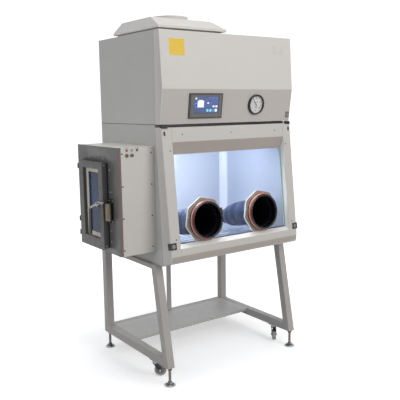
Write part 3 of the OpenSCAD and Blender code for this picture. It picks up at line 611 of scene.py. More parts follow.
piece("weld_beads", *CABINET, STAND_PAINT, "stand_paint")

# ---------- upper housing ----------

HALF = 500                                  # half the casing's width
SEAM_Z, CREASE_Z, TOP_Z = 1540, 1742, 2063   # lower edge, crease and top of the front cover
# the housing's sides take the darker copy of the powder coat: painted shade
for side, sx in (("left", -1), ("right", 1)):
    pts = [(sx * HALF, 2, 1541), (sx * HALF, 660.5, 1541), (sx * HALF, 660.5, 2061.4), (sx * HALF, 2, 2061.4),
           (sx * (HALF - 20), 2, 1541), (sx * (HALF - 20), 2, 2061.4),
           (sx * (HALF - 16), 660.5, 1541), (sx * (HALF - 16), 660.5, 2061.4)]
    surface(pts, [(0, 1, 2, 3), (0, 3, 5, 4), (1, 6, 7, 2)])
    folded(f"housing_side_{side}", *CABINET, SHADED_SIDE_PAINT, "cabinet_paint", 1.5,
           [(lambda a, b: abs(a.z - b.z) > 100, 2.4, 3)], ("housing_side_panels",) if sx < 0 else ())
keep("housing_top_panel", PAINT)
refined("exhaust_hood", PAINT, "cabinet_paint", 2.6, 3, 40)

R = 112
prof = [(R - 5, 2), (R - 5, 22), (R - 3.6, 23.8), (R - 1.4, 23.8), (R, 22.4), (R, 16), (R - 0.8, 15), (R - 0.8, 11),
        (R, 10), (R, 5), (R + 1.5, 2.2), (R + 4.5, 0.6), (R + 4.5, 0)]
lathe(prof, (-245, 222, 2147), 96)
piece("collar_form", *CABINET, PAINT, "cabinet_paint", ("duct_collar",))

keep("back_panel", SHADED_SIDE_PAINT)
for x in (-478, -320, -160, 0, 160, 320, 478):
    for z in (742, 1130, 1518, 1560, 2038):
        screw(x, z, 4.2, 2)
piece("back_screws", BACK, "cabinet", ZINC, "cabinet_paint")
block((-499, 1537.6, 0), (499, 1540.4, 0.5), 0.3, 1)
for k in range(9):
    z = 1660 + k * 14
    sweep(curve_points([(-140, z, 0.6), (-134, z, 3.4), (0, z, 3.6), (134, z, 3.4), (140, z, 0.6)], 4), 3.4, 10,
          squash=(1, 0.7))
piece("back_vents", BACK, "cabinet", BLACK, "cabinet_paint")
lathe([(10, 0.2), (10, 13), (12, 15), (15, 15), (16.5, 13), (16.5, 4), (20, 3.4), (20, 0)], (-330, 1960, 0), 36)
lathe([(15.4, 4), (19.6, 4), (19.6, 9), (15.4, 9)], (-330, 1960, 0), steps=6)
piece("cable_gland", BACK, "cabinet", BLACK, "zinc")

keep("hepa_filters", FILTER)
keep("fan_case", ZINC)
keep("fan_impeller", BLACK)

# ---------- front cover ----------

outline = [(0, SEAM_Z), (-49, SEAM_Z), (-77, CREASE_Z), (-55, TOP_Z), (-46.5, TOP_Z)]
left = [(-HALF, y, z) for y, z in outline]
right = [(HALF, y, z) for y, z in outline]
pts = left + right + [(-HALF, 0, TOP_Z), (HALF, 0, TOP_Z)]
faces = [(i + 1, i, i + 5, i + 6) for i in range(4)]
faces += [(0, 1, 2, 3, 4, 10), (11, 9, 8, 7, 6, 5)]
surface(pts, faces)
bm.faces.ensure_lookup_table()
# the leaning facet takes the darker copy of the paint: painted shade
bm.faces[1].material_index = 1   # the facet that leans towards the user
folded("front_cover_form", BODY, "cover", [PAINT, SHADED_FACET_PAINT], "cabinet_paint", 2.0,
       [(lambda a, b: abs(a.x - b.x) < 1, 3.2, 3), (lambda a, b: abs(a.x - b.x) > 900, 3.4, 3)], ("front_cover",))

# lock on the cover
keep("cover_lock", CHROME)
pad((462, 22), (494, 60), 0, 2.2, 4, 0.9)
lathe([(9.4, 1.4), (9.8, 2.6), (11.4, 2.6), (12, 1.4)], (478, 41, 0), 32, 1)
piece("lock_plate", *COVER, [BEZEL, CHROME], "bezel_plastic")

# plain yellow sticker and blank rating plate
pad((-437, 184), (-334, 276), 0.02, 0.5, 2.5, 0.2)
piece("plain_sticker", UPPER, "cover", YELLOW, "cabinet_paint", sharp=50)
pad((345, 214), (432, 272), 0.02, 0.6, 3, 0.2)
for x, y in ((350, 219), (427, 219), (350, 267), (427, 267)):
    lathe([(0, 1.5), (1.3, 1.3), (2.0, 0.6)], (x, y, 0), 14, 1)
piece("blank_plate", UPPER, "cover", [PLATE, ZINC], "cabinet_paint")

# touch panel: stepped bezel, sunk lit screen and plain symbols
keep("touch_panel", BEZEL)
PX0, PY0, PX1, PY1 = -312, 32, -72, 177


def frame_ring(rects, mat=0):
    """Four-sided steps between nested rectangles, each (x0, y0, x1, y1, z)."""
    before = set(bm.faces)
    bridge([[bm.verts.new(p) for p in ((x0, y0, z), (x1, y0, z), (x1, y1, z), (x0, y1, z))]
                for x0, y0, x1, y1, z in rects])
    tagged(before, mat)


def nested(x0, y0, x1, y1, inset, z):
    return (x0 + inset, y0 + inset, x1 - inset, y1 - inset, z)


frame_ring([nested(PX0, PY0, PX1, PY1, i, z) for i, z in
                ((-0.5, 0), (-0.5, 7.2), (0.4, 8.4), (5, 8.6), (7, 10.2), (8.2, 10.2))], 1)
frame_ring([nested(PX0, PY0, PX1, PY1, 8.2, 10.2), nested(PX0, PY0, PX1, PY1, 9.2, 9.2),
                (-281, 59, -99, 160, 9.2), (-279.6, 60.4, -100.4, 158.6, 6.4)], 0)
piece("panel_bezel", *COVER, [BEZEL, BEZEL_RIM], "bezel_plastic", sharp=20)
keep("touch_screen", SCREEN)
Z = 6.55   # just above the glass of the screen
for (x0, y0, x1, y1, m) in (
        (-254, 96, -209, 134, 0), (-247, 134, -217, 138, 0), (-274, 98, -256, 122, 2), (-271, 102, -259, 116, 3),
        (-180, 149, -110, 151.5, 2), (-184, 117, -172, 125, 0), (-166, 119, -146, 122, 2), (-184, 103, -160, 105, 2),
        (-144, 96, -130, 106, 0), (-124, 96, -108, 106, 0),
        (-188, 70, -173, 85, 1), (-166, 70, -151, 85, 1), (-145, 70, -131, 85, 2), (-126, 70, -110, 86, 0),
        (-276, 63, -104, 65, 3)):
    pad((x0, y0), (x1, y1), Z, Z + 0.35, min(2, (x1 - x0) / 3, (y1 - y0) / 3), 0.1, m)
lathe([(6, Z), (6, Z + 0.3), (0, Z + 0.35)], (-266, 147, 0), 24, 4)
piece("screen_symbols", *COVER, [SCREEN_LIGHT, SCREEN_TEAL, SCREEN_BLUE, BEZEL_RIM, SCREEN_YELLOW], "screen")

# gauge: rolled bezel, printed dial, stop pin, glass
GX, GY = 196, 109
keep("gauge_case", BLACK)
keep("gauge_glass", GLASS)
keep("gauge_needle", INK)
lathe([(61.2, 0), (62.3, 1.5), (61.3, 3.5), (61.3, 12), (60.3, 14.6), (58.5, 15.6), (56, 15.4), (54.4, 13.8),
           (53.4, 12.2), (52.9, 12.0), (52.9, 4)], (GX, GY, 0), 96, 0)
piece("gauge_bezel", *COVER, GLOSS_BLACK, "black_plastic")
lathe([(53, 4.1), (53, 4.6), (0, 4.6)], (GX, GY, 0), 72, 0)
for k in range(41):
    a = radians(218 - k * 256 / 40)
    long = k % 10 == 0
    r0, r1 = (41.5 if long else 44.5 if k % 5 == 0 else 46), 49.5
    w = 0.75 if long else 0.4
    d = Vector((cos(a), sin(a), 0))
    n = Vector((-d.y, d.x, 0))
    quad([Vector((GX, GY, 4.75)) + d * r + n * s for r, s in ((r0, -w), (r1, -w), (r1, w), (r0, w))], 1)
for a0, a1, r0, r1, m in ((218, -38, 49.6, 50.4, 1), (8, -38, 38.0, 40.4, 2)):
    prev = None
    for k in range(49):
        a = radians(a0 + (a1 - a0) * k / 48)
        cur = [bm.verts.new((GX + r * cos(a), GY + r * sin(a), 4.72)) for r in (r0, r1)]
        if prev:
            bm.faces.new((prev[0], prev[1], cur[1], cur[0])).material_index = m
        prev = cur
for x0, y0, x1, y1 in ((-17, 13, 17, 15), (-10, -15, 10, -13.2), (-14, -19.5, 14, -18)):
    quad([(GX + x, GY + y, 4.74) for x, y in ((x0, y0), (x1, y0), (x1, y1), (x0, y1))], 1)
lathe([(0, 9.2), (2.4, 9.0), (3.2, 8.2), (3.2, 7.6)], (GX, GY, 0), 24, 3)
lathe([(0, 6.2), (2.2, 6.2), (2.8, 5.4), (2.8, 4.6)], (GX, GY - 36, 0), 20, 1)
piece("gauge_dial", *COVER, [DIAL, INK, RED, ZINC], "black_plastic")
for k, label in enumerate(("0", "50", "100", "150", "200")):
    a = radians(218 - k * 64)
    curve = bpy.data.curves.new(f"dial_number_{k}", "FONT")
    curve.body = label
    curve.size = 0.0095
    curve.align_x = "CENTER"
    curve.align_y = "CENTER"
    curve.extrude = 0.00008
    curve.materials.append(INK)
    ob = bpy.data.objects.new(f"dial_number_{k}", curve)
    scene.collection.objects.link(ob)
    place = FACET @ Vector((GX + 34.5 * cos(a), GY + 34.5 * sin(a), 4.85))
    rot = FACET.to_3x3() * 1000
    ob.matrix_world = Matrix.Translation(place) @ rot.to_4x4()
    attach(ob, "cover")

# ---------- chamber ----------

refined("chamber_left_wall", SHADED_SIDE_PAINT, "cabinet_paint", 1.1, 2, 30)
refined("chamber_right_wall", SHADED_SIDE_PAINT, "cabinet_paint", 1.1, 2, 30)
keep("chamber_back_wall", STEEL)
keep("chamber_ceiling", STEEL)
keep("worktop", TABLE_STEEL)

COVE_R = 46
# the rounded back corners take the paler copy of the chamber's steel: a painted reflection
for sx in (-1, 1):
    pts = []
    for k in range(13):
        a = radians(90 * k / 12)
        pts.append((sx * (470 - COVE_R * (1 - sin(a))), 600 - COVE_R * (1 - cos(a))))
    rows = [[bm.verts.new((x, y - 0.6, z)) for x, y in pts] for z in (786, 1449)]
    for i in range(len(pts) - 1):
        bm.faces.new((rows[0][i], rows[0][i + 1], rows[1][i + 1], rows[1][i]))
piece("corner_coves", *CABINET, GLINT_COVE_STEEL, "stainless", sharp=60)

# liners on the inner faces of the side walls, with the airlock's opening on the left
surface([(469.4, -36, 786), (469.4, 599, 786), (469.4, 599, 1449), (469.4, 10, 1449)], [(0, 1, 2, 3)])
ys, zs = (-38, 177, 445, 599), (786, 847, 1311, 1449)
for i in range(3):
    for j in range(3):
        if (i, j) != (1, 1):
            y0 = ys[i] if i else (-36 if j == 0 else -32 if j == 1 else 2)
            surface([(-469.4, y0, zs[j]), (-469.4, ys[i + 1], zs[j]), (-469.4, ys[i + 1], zs[j + 1]),
                         (-469.4, y0, zs[j + 1])], [(0, 1, 2, 3)])
piece("chamber_liners", *CABINET, STEEL, "stainless")

keep("lamp", LAMP)
block((-404, 38, 1444.5), (404, 92, 1449.6), 1, 2)
for x in (-402, 394):
    block((x, 42, 1424), (x + 8, 88, 1446), 2, 2)
piece("lamp_housing", *CABINET, PALE_TRIM_AND_GLINT, "lamp_white")
for k in range(19):
    block((-376, 140 + k * 20, 1447.2), (376, 141.6 + k * 20, 1451), 0.3, 1)
for x in (-380, -190, 0, 190, 377):
    block((x, 130, 1446.6), (x + 3, 520, 1451), 0.3, 1)
piece("diffuser_grille", *CABINET, STEEL, "stainless")
surface([(-380, 130, 1456), (380, 130, 1456), (380, 520, 1456), (-380, 520, 1456)], [(0, 1, 2, 3)])
piece("diffuser_cloth", *CABINET, FILTER, "filter_media")

# raised edges of the worktop
for lo, hi in (((-468, -40, 785), (468, -34, 792)), ((-468, 592, 785), (468, 599, 792)),
               ((-469, -34, 785), (-463, 592, 792)), ((463, -34, 785), (469, 592, 792))):
    block(lo, hi, 1.6, 2)
piece("worktop_rim", *CABINET, TABLE_STEEL, "stainless")

# a black strip in the gap between the cover and the window frame: painted shade
block((-456, -42, 1525.6), (456, -6, 1536.6), 2, 2)
piece("gap_shade_strip", *CABINET, BLACK, "black_plastic")
for sx in (-1, 1):
    sweep([(sx * 499.2, 0.2, 1542), (sx * 499.2, 0.2, 1800), (sx * 499.2, 0.2, 2058)], 0.9, 8)
    sweep([(sx * 499.0, 12, 1539.3), (sx * 499.0, 300, 1539.3), (sx * 499.0, 659, 1539.3)], 1.2, 8)
piece("seam_seals", *CABINET, BLACK, "black_plastic")

# ---------- window ----------

S_LOW = 733.0


def fr(x, s, d):
    """A point by its distance down the sloping face and its depth, in the front axes."""
    return (x, -s, -d)


def fr_body(x, y, z):
    """A point of the cabinet's axes, in the front axes."""
    return tuple(FRONT.inverted() @ at(x, y, z))


W, TOP, LOW = 432, 83, 697
pts = []
for sx in (-1, 1):
    pts += [fr(sx * HALF, 0, 0), fr(sx * HALF, S_LOW, 0)]
    pts += [fr_body(sx * HALF, y, z) for y, z in ((-131.8, 747), (-50, 722), (5, 1524))]
pts += [fr(-W, TOP, 0), fr(W, TOP, 0), fr(W, LOW, 0), fr(-W, LOW, 0),
        fr(-W, 155, 40), fr(W, 155, 40), fr(W, 674, 40), fr(-W, 674, 40)]
faces = [(0, 10, 11, 5), (5, 11, 12, 6), (6, 12, 13, 1), (1, 13, 10, 0),
         (10, 14, 15, 11), (11, 15, 16, 12), (12, 16, 17, 13), (13, 17, 14, 10),
         (1, 2, 7, 6), (2, 3, 8, 7), (0, 5, 9, 4), (0, 4, 3, 2, 1), (5, 6, 7, 8, 9)]
surface(pts, faces)
bm.faces.ensure_lookup_table()
# the soffit, the lower chamfer band and the underside take the darker copy of the paint, as painted shade; both jambs
# and the sill take the lighter copy, as painted light
for index, tone in ((4, 1), (5, 2), (6, 2), (7, 2), (8, 1), (9, 1)):
    bm.faces[index].material_index = tone
bmesh.ops.recalc_face_normals(bm, faces=bm.faces)


def on_opening(a, b):
    return all(abs(p.z) < 0.5 and abs(p.x) < W + 0.5 and TOP - 0.5 < -p.y < LOW + 0.5 for p in (a, b))


def on_rim(a, b):
    return all(abs(abs(p.x) - HALF) < 0.5 for p in (a, b)) or abs(a.x - b.x) > 900


folded("window_frame_form", *WINDOW, [PAINT, SHADED_PAINT, LIT_PAINT], "cabinet_paint", 2.5,
       [(on_opening, 1.6, 3), (on_rim, 7, 4)], ("window_frame",))

# seam lines between the frame's rails
for x in (-W, W):
    block((x - 0.5, -S_LOW + 6, -0.1), (x + 0.5, -LOW - 2, 0.12), 0, 1)
    block((x - 0.5, -TOP + 3, -0.1), (x + 0.5, -3, 0.12), 0, 1)
piece("rail_seams", *WINDOW, BEZEL, "cabinet_paint")

# glass, its dark seal, its teal polished edges with a painted glow, and a pale strip inside the right edge that is a
# painted highlight
keep("window_glass", GLASS)
block(fr(-428, 673.4, 40.2), fr(428, 668, 37.4), 0.6, 2, 0)
block(fr(428.5, 672, 40.3), fr(431.6, 156, 34), 0.5, 2, 1)
block(fr(-431.6, 672, 40.3), fr(-430, 156, 37), 0.4, 2, 1)
block(fr(422, 670, 41), fr(428.5, 157, 40.4), 0.2, 1, 2)
piece("glass_seals", *WINDOW, [BLACK, GLOWING_TEAL, PALE_TRIM_AND_GLINT], "black_plastic")

PORT_X, PORT_Y = 223, -553   # the ports' centres in the front axes
for side, px in (("left", -PORT_X), ("right", PORT_X)):
    # octagonal port plate with a bright edge
    ring = [(111.2, -40), (111.2, -29), (112.4, -27.8), (138, -27.8), (141.6, -28.6), (143, -30), (143, -38.5),
            (142, -39.8), (111.2, -40)]
    loops = []
    corner = 14
    for r, z in ring:
        loop = []
        for k in range(8):
            a = radians(10 + 45 * k)
            c = Vector((cos(a), sin(a), 0)) * r
            if r < 112.5:
                for j in range(4):
                    b = a + radians((j - 1.5) * 11.25)
                    loop.append(bm.verts.new((px + r * cos(b), PORT_Y + r * sin(b), z)))
            else:
                a0, a1 = a - pi / 4, a + pi / 4
                p0 = Vector((cos(a0), sin(a0), 0)) * r
                p1 = Vector((cos(a1), sin(a1), 0)) * r
                u, v = (p0 - c).normalized() * corner, (p1 - c).normalized() * corner
                for t in (0.0, 1 / 3, 2 / 3, 1.0):
                    q = c + u * (1 - t) ** 2 + v * t ** 2
                    loop.append(bm.verts.new((px + q.x, PORT_Y + max(q.y, r - 143 - 119.6), z)))
        loops.append(loop)
    bridge(loops, (4, 5, 6, 7))
    for k in range(8):
        a = radians(10 + 45 * k + 22.5)
        screw(px + 124 * cos(a), PORT_Y + 124 * sin(a), 3.6, 1.8, 2, z=-27.8)
    piece(f"port_plate_{side}", *WINDOW, [TAN, PALE_TRIM_AND_GLINT, ZINC], "tan_plastic",
              ("port_flanges",) if side == "left" else ())
    # grooved cuff
    prof = [(98.8, -46), (98.8, -2), (99.4, 1.6), (101.2, 3.6), (104, 4.2), (109.0, 4.0), (111.6, 2.8),
            (112.4, 0.8), (112.4, -1.2), (108.2, -1.6), (108.2, -10.4), (111.4, -10.8), (111.4, -13.6),
            (108.2, -14), (108.2, -20.6), (111, -21), (112.5, -25), (113.5, -27.8), (113.5, -49), (112, -50),
            (97.5, -50), (96.5, -48.5), (98.4, -46.5), (98.8, -46)]
    lathe(prof, (px, PORT_Y, 0), 96)
    piece(f"cuff_{side}", *WINDOW, GLOSS_BLACK, "black_plastic", ("port_cuffs",) if side == "left" else ())
    # the thin pale ring in the cuff's second groove is a painted reflection
    for r, z, minor, m in ((110.4, -6.2, 4.1, 0), (111.4, -17, 2.3, 1)):
        lathe([(r + minor * cos(t * pi / 7), z + minor * sin(t * pi / 7)) for t in range(15)], (px, PORT_Y, 0), 96, m)
    piece(f"port_rings_{side}", *WINDOW, [GLOWING_ORANGE, PALE_TRIM_AND_GLINT], "ring_rubber", ("o_rings",) if side == "left" else ())

keep("port_latch_left", BLACK)
keep("port_latch_right", BRASS)
for side, px, ang in (("left", -PORT_X, 12), ("right", PORT_X, -48)):
    a = radians(ang)
    cx, cy = px + 126 * cos(a), PORT_Y + 126 * sin(a)
    lathe([(0, -14.2), (3, -14.2), (5.4, -15.2), (6, -17.2)], (cx, cy, 0), 24, 0)
    d = Vector((-sin(a), cos(a), 0))
    sweep([Vector((cx, cy, -18.4)) + d * t for t in (6, 12, 20, 28, 34, 38)], [5, 6.4, 6.6, 6.8, 6.4, 4], 14,
          squash=(1, 0.6))
    piece(f"port_lever_{side}", FRONT, f"port_latch_{side}", [BLACK if side == "left" else BRASS],
              "black_plastic" if side == "left" else "brass")

LATCH_X, LATCH_Y = 480, -676
refined("window_fittings", BLACK, "black_plastic", 1.2, 3, 2.5)
for side, sx in (("left", -1), ("right", 1)):
    keep(f"latch_core_{side}", CHROME)
    lathe([(9.3, 3.0), (9.6, 4.2), (11.6, 4.2), (12.4, 3.2)], (sx * LATCH_X, LATCH_Y, 0), 32)
    piece(f"latch_ring_{side}", *WINDOW, CHROME, "bright_metal")
    block((sx * LATCH_X - 2.5, LATCH_Y - 6, 4.3), (sx * LATCH_X + 2.5, LATCH_Y + 6, 5.6), 0.6)
    piece(f"latch_key_{side}", FRONT, f"latch_core_{side}", BRASS, "bright_metal")

for x in (-359, 0, 359):
    screw(x, -42, 4.0, 1.8)
for sx in (-1, 1):
    screw(sx * 451, -133, 4.0, 1.8)
    screw(sx * 458, -640, 4.0, 1.8)
piece("frame_screws", *WINDOW, BEZEL_RIM, "black_plastic")
for sx in (-1, 1):
    pad((sx * 481 - 7, -48), (sx * 481 + 7, -21), 0.02, 0.6, 6.9, 0.3)
piece("frame_slots", *WINDOW, BLACK, "black_plastic")
for sx in (-1, 1):
    lathe([(5.6, sx * 458.5), (8.4, sx * 458.5), (9, sx * 459.5), (9, sx * 498), (8.4, sx * 499), (0, sx * 499)],
          (0, -50, 1530), 36, axis="X")
    block((sx * 478.5 - 19.5, -64, 1519), (sx * 478.5 + 19.5, -52, 1527), 2, 3)
piece("hinge_covers", BODY, "window", BLACK, "black_plastic")

# ---------- sleeves and gloves ----------

GLOVE_TILT = radians(13)


def fold_up(ob):
    """Gives a piece its own copy of its mesh."""
    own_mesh(ob)


for side, px, seed in (("left", -PORT_X, 3.1), ("right", PORT_X, 8.7)):
    start = FRONT @ Vector((px, PORT_Y, -50))
    GLOVE = axes(start, (1, 0, 0), (0, sin(GLOVE_TILT), cos(GLOVE_TILT)))
    # local axes: right, up, and out towards the user; the sleeve runs along -out
    rings = []
    length, cols = 346, 72
    rows_n = 108
    knots = ((0, 96.5), (20, 95), (80, 89), (180, 85.5), (270, 79), (305, 68), (330, 50), (346, 44))
    for i in range(rows_n + 1):
        t = length * i / rows_n
        for (t0, r0), (t1, r1) in zip(knots, knots[1:]):
            if t0 <= t <= t1:
                f = (t - t0) / (t1 - t0)
                r = r0 + (r1 - r0) * (3 * f * f - 2 * f ** 3)
        ring = []
        ramp = min(1, t / 45) * min(1, (length - t) / 30 + 0.15)
        for k in range(cols):
            a = 2 * pi * k / cols
            ca, sa = cos(a), sin(a)
            fold = noise.noise(Vector((ca + seed, sa, t / 85)))
            crease = noise.noise(Vector((ca * 1.6, sa * 1.6 + seed, t / 34)))
            hoop = sin(t / 8.5 + 2.2 * noise.noise(Vector((ca + seed, sa, t / 70))))
            sag = -0.045 * r * (1 - sa) * 0.5 * ramp
            near = max(0, (t - 220) / 100)
            rr = r + ramp * (8.0 * fold - 1.8 * abs(crease) - 2.6 - 0.2 * hoop * (0.2 + 3 * near)) + sag
            rr = min(rr, r + 0.5)
            shift = 4.0 * ramp * noise.noise(Vector((seed, t / 80, 0)))
            y = rr * sa
            if t < 4:
                rr = r
            lead = max(0, 1 - t / 40) * (6 + 11.4 * sa)
            ring.append(bm.verts.new((rr * ca + shift, y, lead - t)))
        rings.append(ring)
    bridge(rings)
    ob = piece(f"sleeve_{side}", GLOVE, "window", [SLEEVE, SLEEVE_SHADE], "glove_rubber", (f"glove_{side}",),
                   sharp=80, sheet=True)
    # the inner side of the sleeve takes the near-black copy: painted shade
    thicken(ob, 1.2).material_offset = 1
    fold_up(ob)
    # ring that joins the glove to the sleeve
    lathe([(41, -333), (46, -334), (49, -336.5), (49, -341), (47, -342.5), (49, -344), (49, -348.5),
               (46, -351), (40, -352)], (0, 0, 0), 64)
    ring_ob = piece(f"wrist_ring_{side}", GLOVE, "window", BLACK, "black_plastic")
    fold_up(ring_ob)
    # hand: palm, thumb and fingers grown into one skin
    thumb = 1 if side == "left" else -1
    sweep([(0, 0, -338), (0, 0, -352), (0, -1, -368), (0, -3, -392), (0, -4, -418), (0, -5, -434)],
          [40, 36, 38, 44, 45, 40], 24, squash=(0.58, 1.0))
    for i, (x, ln, droop) in enumerate(((-33, 56, 8), (-12, 68, 4), (11, 66, 5), (31, 52, 10))):
        x *= -thumb
        path = curve_points([(x * 0.9, -4, -420), (x, -6, -440), (x * 1.05, -8 - droop, -440 - ln * 0.6),
                             (x * 1.06, -14 - droop * 1.4, -440 - ln)], 5)
        dome_tube(path, 10.2, 14)
    path = curve_points([(thumb * 32, -4, -378), (thumb * 44, -8, -396), (thumb * 49, -14, -418),
                         (thumb * 46, -20, -438)], 5)
    dome_tube(path, 10.6, 14)
    hand = piece(f"hand_{side}", GLOVE, "window", SLEEVE, "glove_rubber", sharp=80)
    hand.modifiers.clear()
    mod = hand.modifiers.new("skin", "REMESH")
    mod.mode = "VOXEL"
    mod.voxel_size = 0.0026
    mod.use_smooth_shade = True
    mod = hand.modifiers.new("soften", "SMOOTH")
    mod.factor = 0.6
    mod.iterations = 6
    deps = bpy.context.evaluated_depsgraph_get()
    skin = bpy.data.meshes.new_from_object(hand.evaluated_get(deps))
    hand.modifiers.clear()
    for v in skin.vertices:
        v.co += v.normal * 0.0007 * noise.noise(v.co * 190)
    hand.data = skin
    for poly in skin.polygons:
        poly.use_smooth = True
    fold_up(hand)

# ---------- airlock ----------

LX, LF, LB, LZ0, LZ1 = -733, 20, 545, 800, 1417   # the airlock's end, front, back, bottom and top
x0, x1 = LX + 3, -HALF
surface(corners((x0, LF + 2, LZ0), (x1, LB, LZ1)), [(0, 3, 2, 1), (4, 5, 6, 7), (3, 7, 6, 2)])
folded("airlock_casing", *CABINET, PAINT, "cabinet_paint", 1.5,
       [(lambda a, b: abs(a.x - b.x) > 100, 2.2, 3)], ("airlock_shell",))
t0, t1 = (176, 846), (446, 1312)
surface(corners((x0, *t0), (x1, *t1)), [(0, 1, 2, 3), (4, 7, 6, 5), (0, 4, 5, 1), (3, 2, 6, 7)])
folded("airlock_tunnel", *CABINET, STEEL, "stainless", 1.2, [(lambda a, b: abs(a.x - b.x) > 100, 10, 5)])

pad((x0 + 10, LZ0), (x1 - 0.3, LZ1), -2, 0.25, 2, 0.3)
piece("airlock_front_form", LOCK_FRONT, "cabinet", PAINT, "cabinet_paint", ("airlock_front_panel",))

# end plate: a tray whose front and back edges wrap round the casing
ys = [LF - 0.6, LF + 15, t0[0], t1[0], LB + 0.6]
zs = [LZ0 - 0.6, t0[1], t1[1], LZ1 + 0.6]
grid = {(i, j): bm.verts.new((LX, y, z)) for i, y in enumerate(ys) for j, z in enumerate(zs)}
for i in range(4):
    for j in range(3):
        if (i, j) != (2, 1):
            bm.faces.new((grid[i, j], grid[i, j + 1], grid[i + 1, j + 1], grid[i + 1, j]))
for i in (0, 4):
    rim = [bm.verts.new((LX + 15, ys[i], z)) for z in zs]
    for j in range(3):
        bm.faces.new((grid[i, j], rim[j], rim[j + 1], grid[i, j + 1]))
for j in (0, 3):
    rim = [bm.verts.new((LX + 6, y, zs[j])) for y in ys]
    for i in range(4):
        bm.faces.new((grid[i, j], grid[i + 1, j], rim[i + 1], rim[i]))
bmesh.ops.recalc_face_normals(bm, faces=bm.faces)
if sum(f.normal.x * f.calc_area() for f in bm.faces) > 0:
    bmesh.ops.reverse_faces(bm, faces=bm.faces)


def on_wrap(e):
    """True for the upright edges where the plate turns round the casing."""
    a, b = (v.co for v in e.verts)
    return (abs(a.x - LX) < 0.5 and abs(b.x - LX) < 0.5 and abs(a.y - b.y) < 0.5
            and (abs(a.y - ys[0]) < 0.5 or abs(a.y - ys[4]) < 0.5))


bmesh.ops.remove_doubles(bm, verts=bm.verts, dist=0.01)
ease([e for e in bm.edges if len(e.link_faces) == 2 and on_wrap(e)], 12, 6)
# the front wrap takes the lighter brown copy of the dark paint, where the front light falls: painted light
for f in bm.faces:
    if f.calc_center_median().y < LF + 14.5:
        f.material_index = 1
ob = piece("airlock_end_form", *CABINET, [DARK_PAINT, LIT_WRAP_PAINT], "dark_paint", ("airlock_end_plate",), recalc=False)
thicken(ob, 1.5)

for x in (LX + 22, -HALF - 23):
    for k in range(4):
        screw(x, LZ1 - 33 - k * 183, 4.6, 2.4, 0, 0.25)
piece("airlock_front_screws", LOCK_FRONT, "cabinet", BEZEL_RIM, "black_plastic", ("panel_screws",))
for z in (1288, 1162, 1040, 936, 872):
    screw(-132, z, 4.4, 2.4, 0, 4 if z == 1040 else 0)
for y in (207, 381):
    screw(-y, 1347, 4.4, 2.4)
piece("airlock_end_screws", END, "cabinet", ZINC, "black_plastic")

# buttons and indicators
BUTTON_Z, LAMP_Z = 1374, 1402
for side in ("left", "right"):
    lo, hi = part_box(f"button_{side}")
    x = ((lo.x + hi.x) / 2 - MID_X) * 1000
    keep(f"button_{side}", BRASS)
    lathe([(8.6, 3.4), (9.0, 5.0), (8.4, 6.6), (6.6, 6.9), (6.2, 6.2), (6.2, 5.6)], (x, BUTTON_Z, 0), 36, 0)
    lathe([(6.2, 5.8), (5.6, 7.2), (3, 7.7), (0, 7.8)], (x, BUTTON_Z, 0), 28, 1)
    piece(f"button_cap_{side}", LOCK_FRONT, f"button_{side}", [BRASS, BLACK], "brass")
    lathe([(9.3, 0.2), (9.3, 2.6), (9.9, 3.1), (11.4, 2.7), (12.2, 1.4), (12.2, 0.2)], (x, BUTTON_Z, 0), 40, 0)
    piece(f"button_ring_{side}", LOCK_FRONT, "cabinet", BRASS, "brass")
keep("indicators", BLACK)
for k, (x, m) in enumerate(((-680, 1), (-647, 3), (-614, 0))):
    lathe([(6.6, 0.2), (6.6, 2.4), (5.6, 3.2), (4.6, 3.2)], (x, LAMP_Z, 0), 28, 0)
    lathe([(4.6, 3.1), (4.2, 4.2), (2.2, 4.9), (0, 5.0)], (x, LAMP_Z, 0), 24, m)
    pad((x - 12, 1411), (x - 2, 1414.6), 0.25, 0.7, 0.8, 0.2, 2 if k != 1 else 3)
    pad((x + 2, 1411), (x + 12, 1414.6), 0.25, 0.7, 0.8, 0.2, (1, 3, 0)[k])
piece("indicator_caps", LOCK_FRONT, "cabinet", [BLACK, RED, GREEN, PLATE], "signal_red")

# outer door leaf
glo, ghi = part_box("outer_door_glass")


def mm(v):
    return ((v.x - MID_X) * 1000, (v.y - SEAM_Y) * 1000, v.z * 1000)


DO, DI = -768, -736   # outer and inner faces of the door
DOOR_HINGE = (-764, 472)
Y0, Y1, Z0, Z1 = LEAF = 158, 464, 828, 1330
PANE = (mm(glo)[1], mm(ghi)[1], mm(glo)[2], mm(ghi)[2])


def rect_loop(edges, inset, x, corner, n=5):
    """A ring of vertices inside a rectangle's edges, with round corners."""
    y0, y1, z0, z1 = (e + inset * s for e, s in zip(edges, (1, -1, 1, -1)))
    loop = []
    for cy, cz, a0 in ((y1, z1, 0), (y0, z1, 90), (y0, z0, 180), (y1, z0, 270)):
        sy = corner if cy == y0 else -corner
        sz = corner if cz == z0 else -corner
        for k in range(n):
            a = radians(a0 + 90 * k / (n - 1))
            loop.append(bm.verts.new((x, cy + sy + corner * cos(a), cz + sz + corner * sin(a))))
    return loop


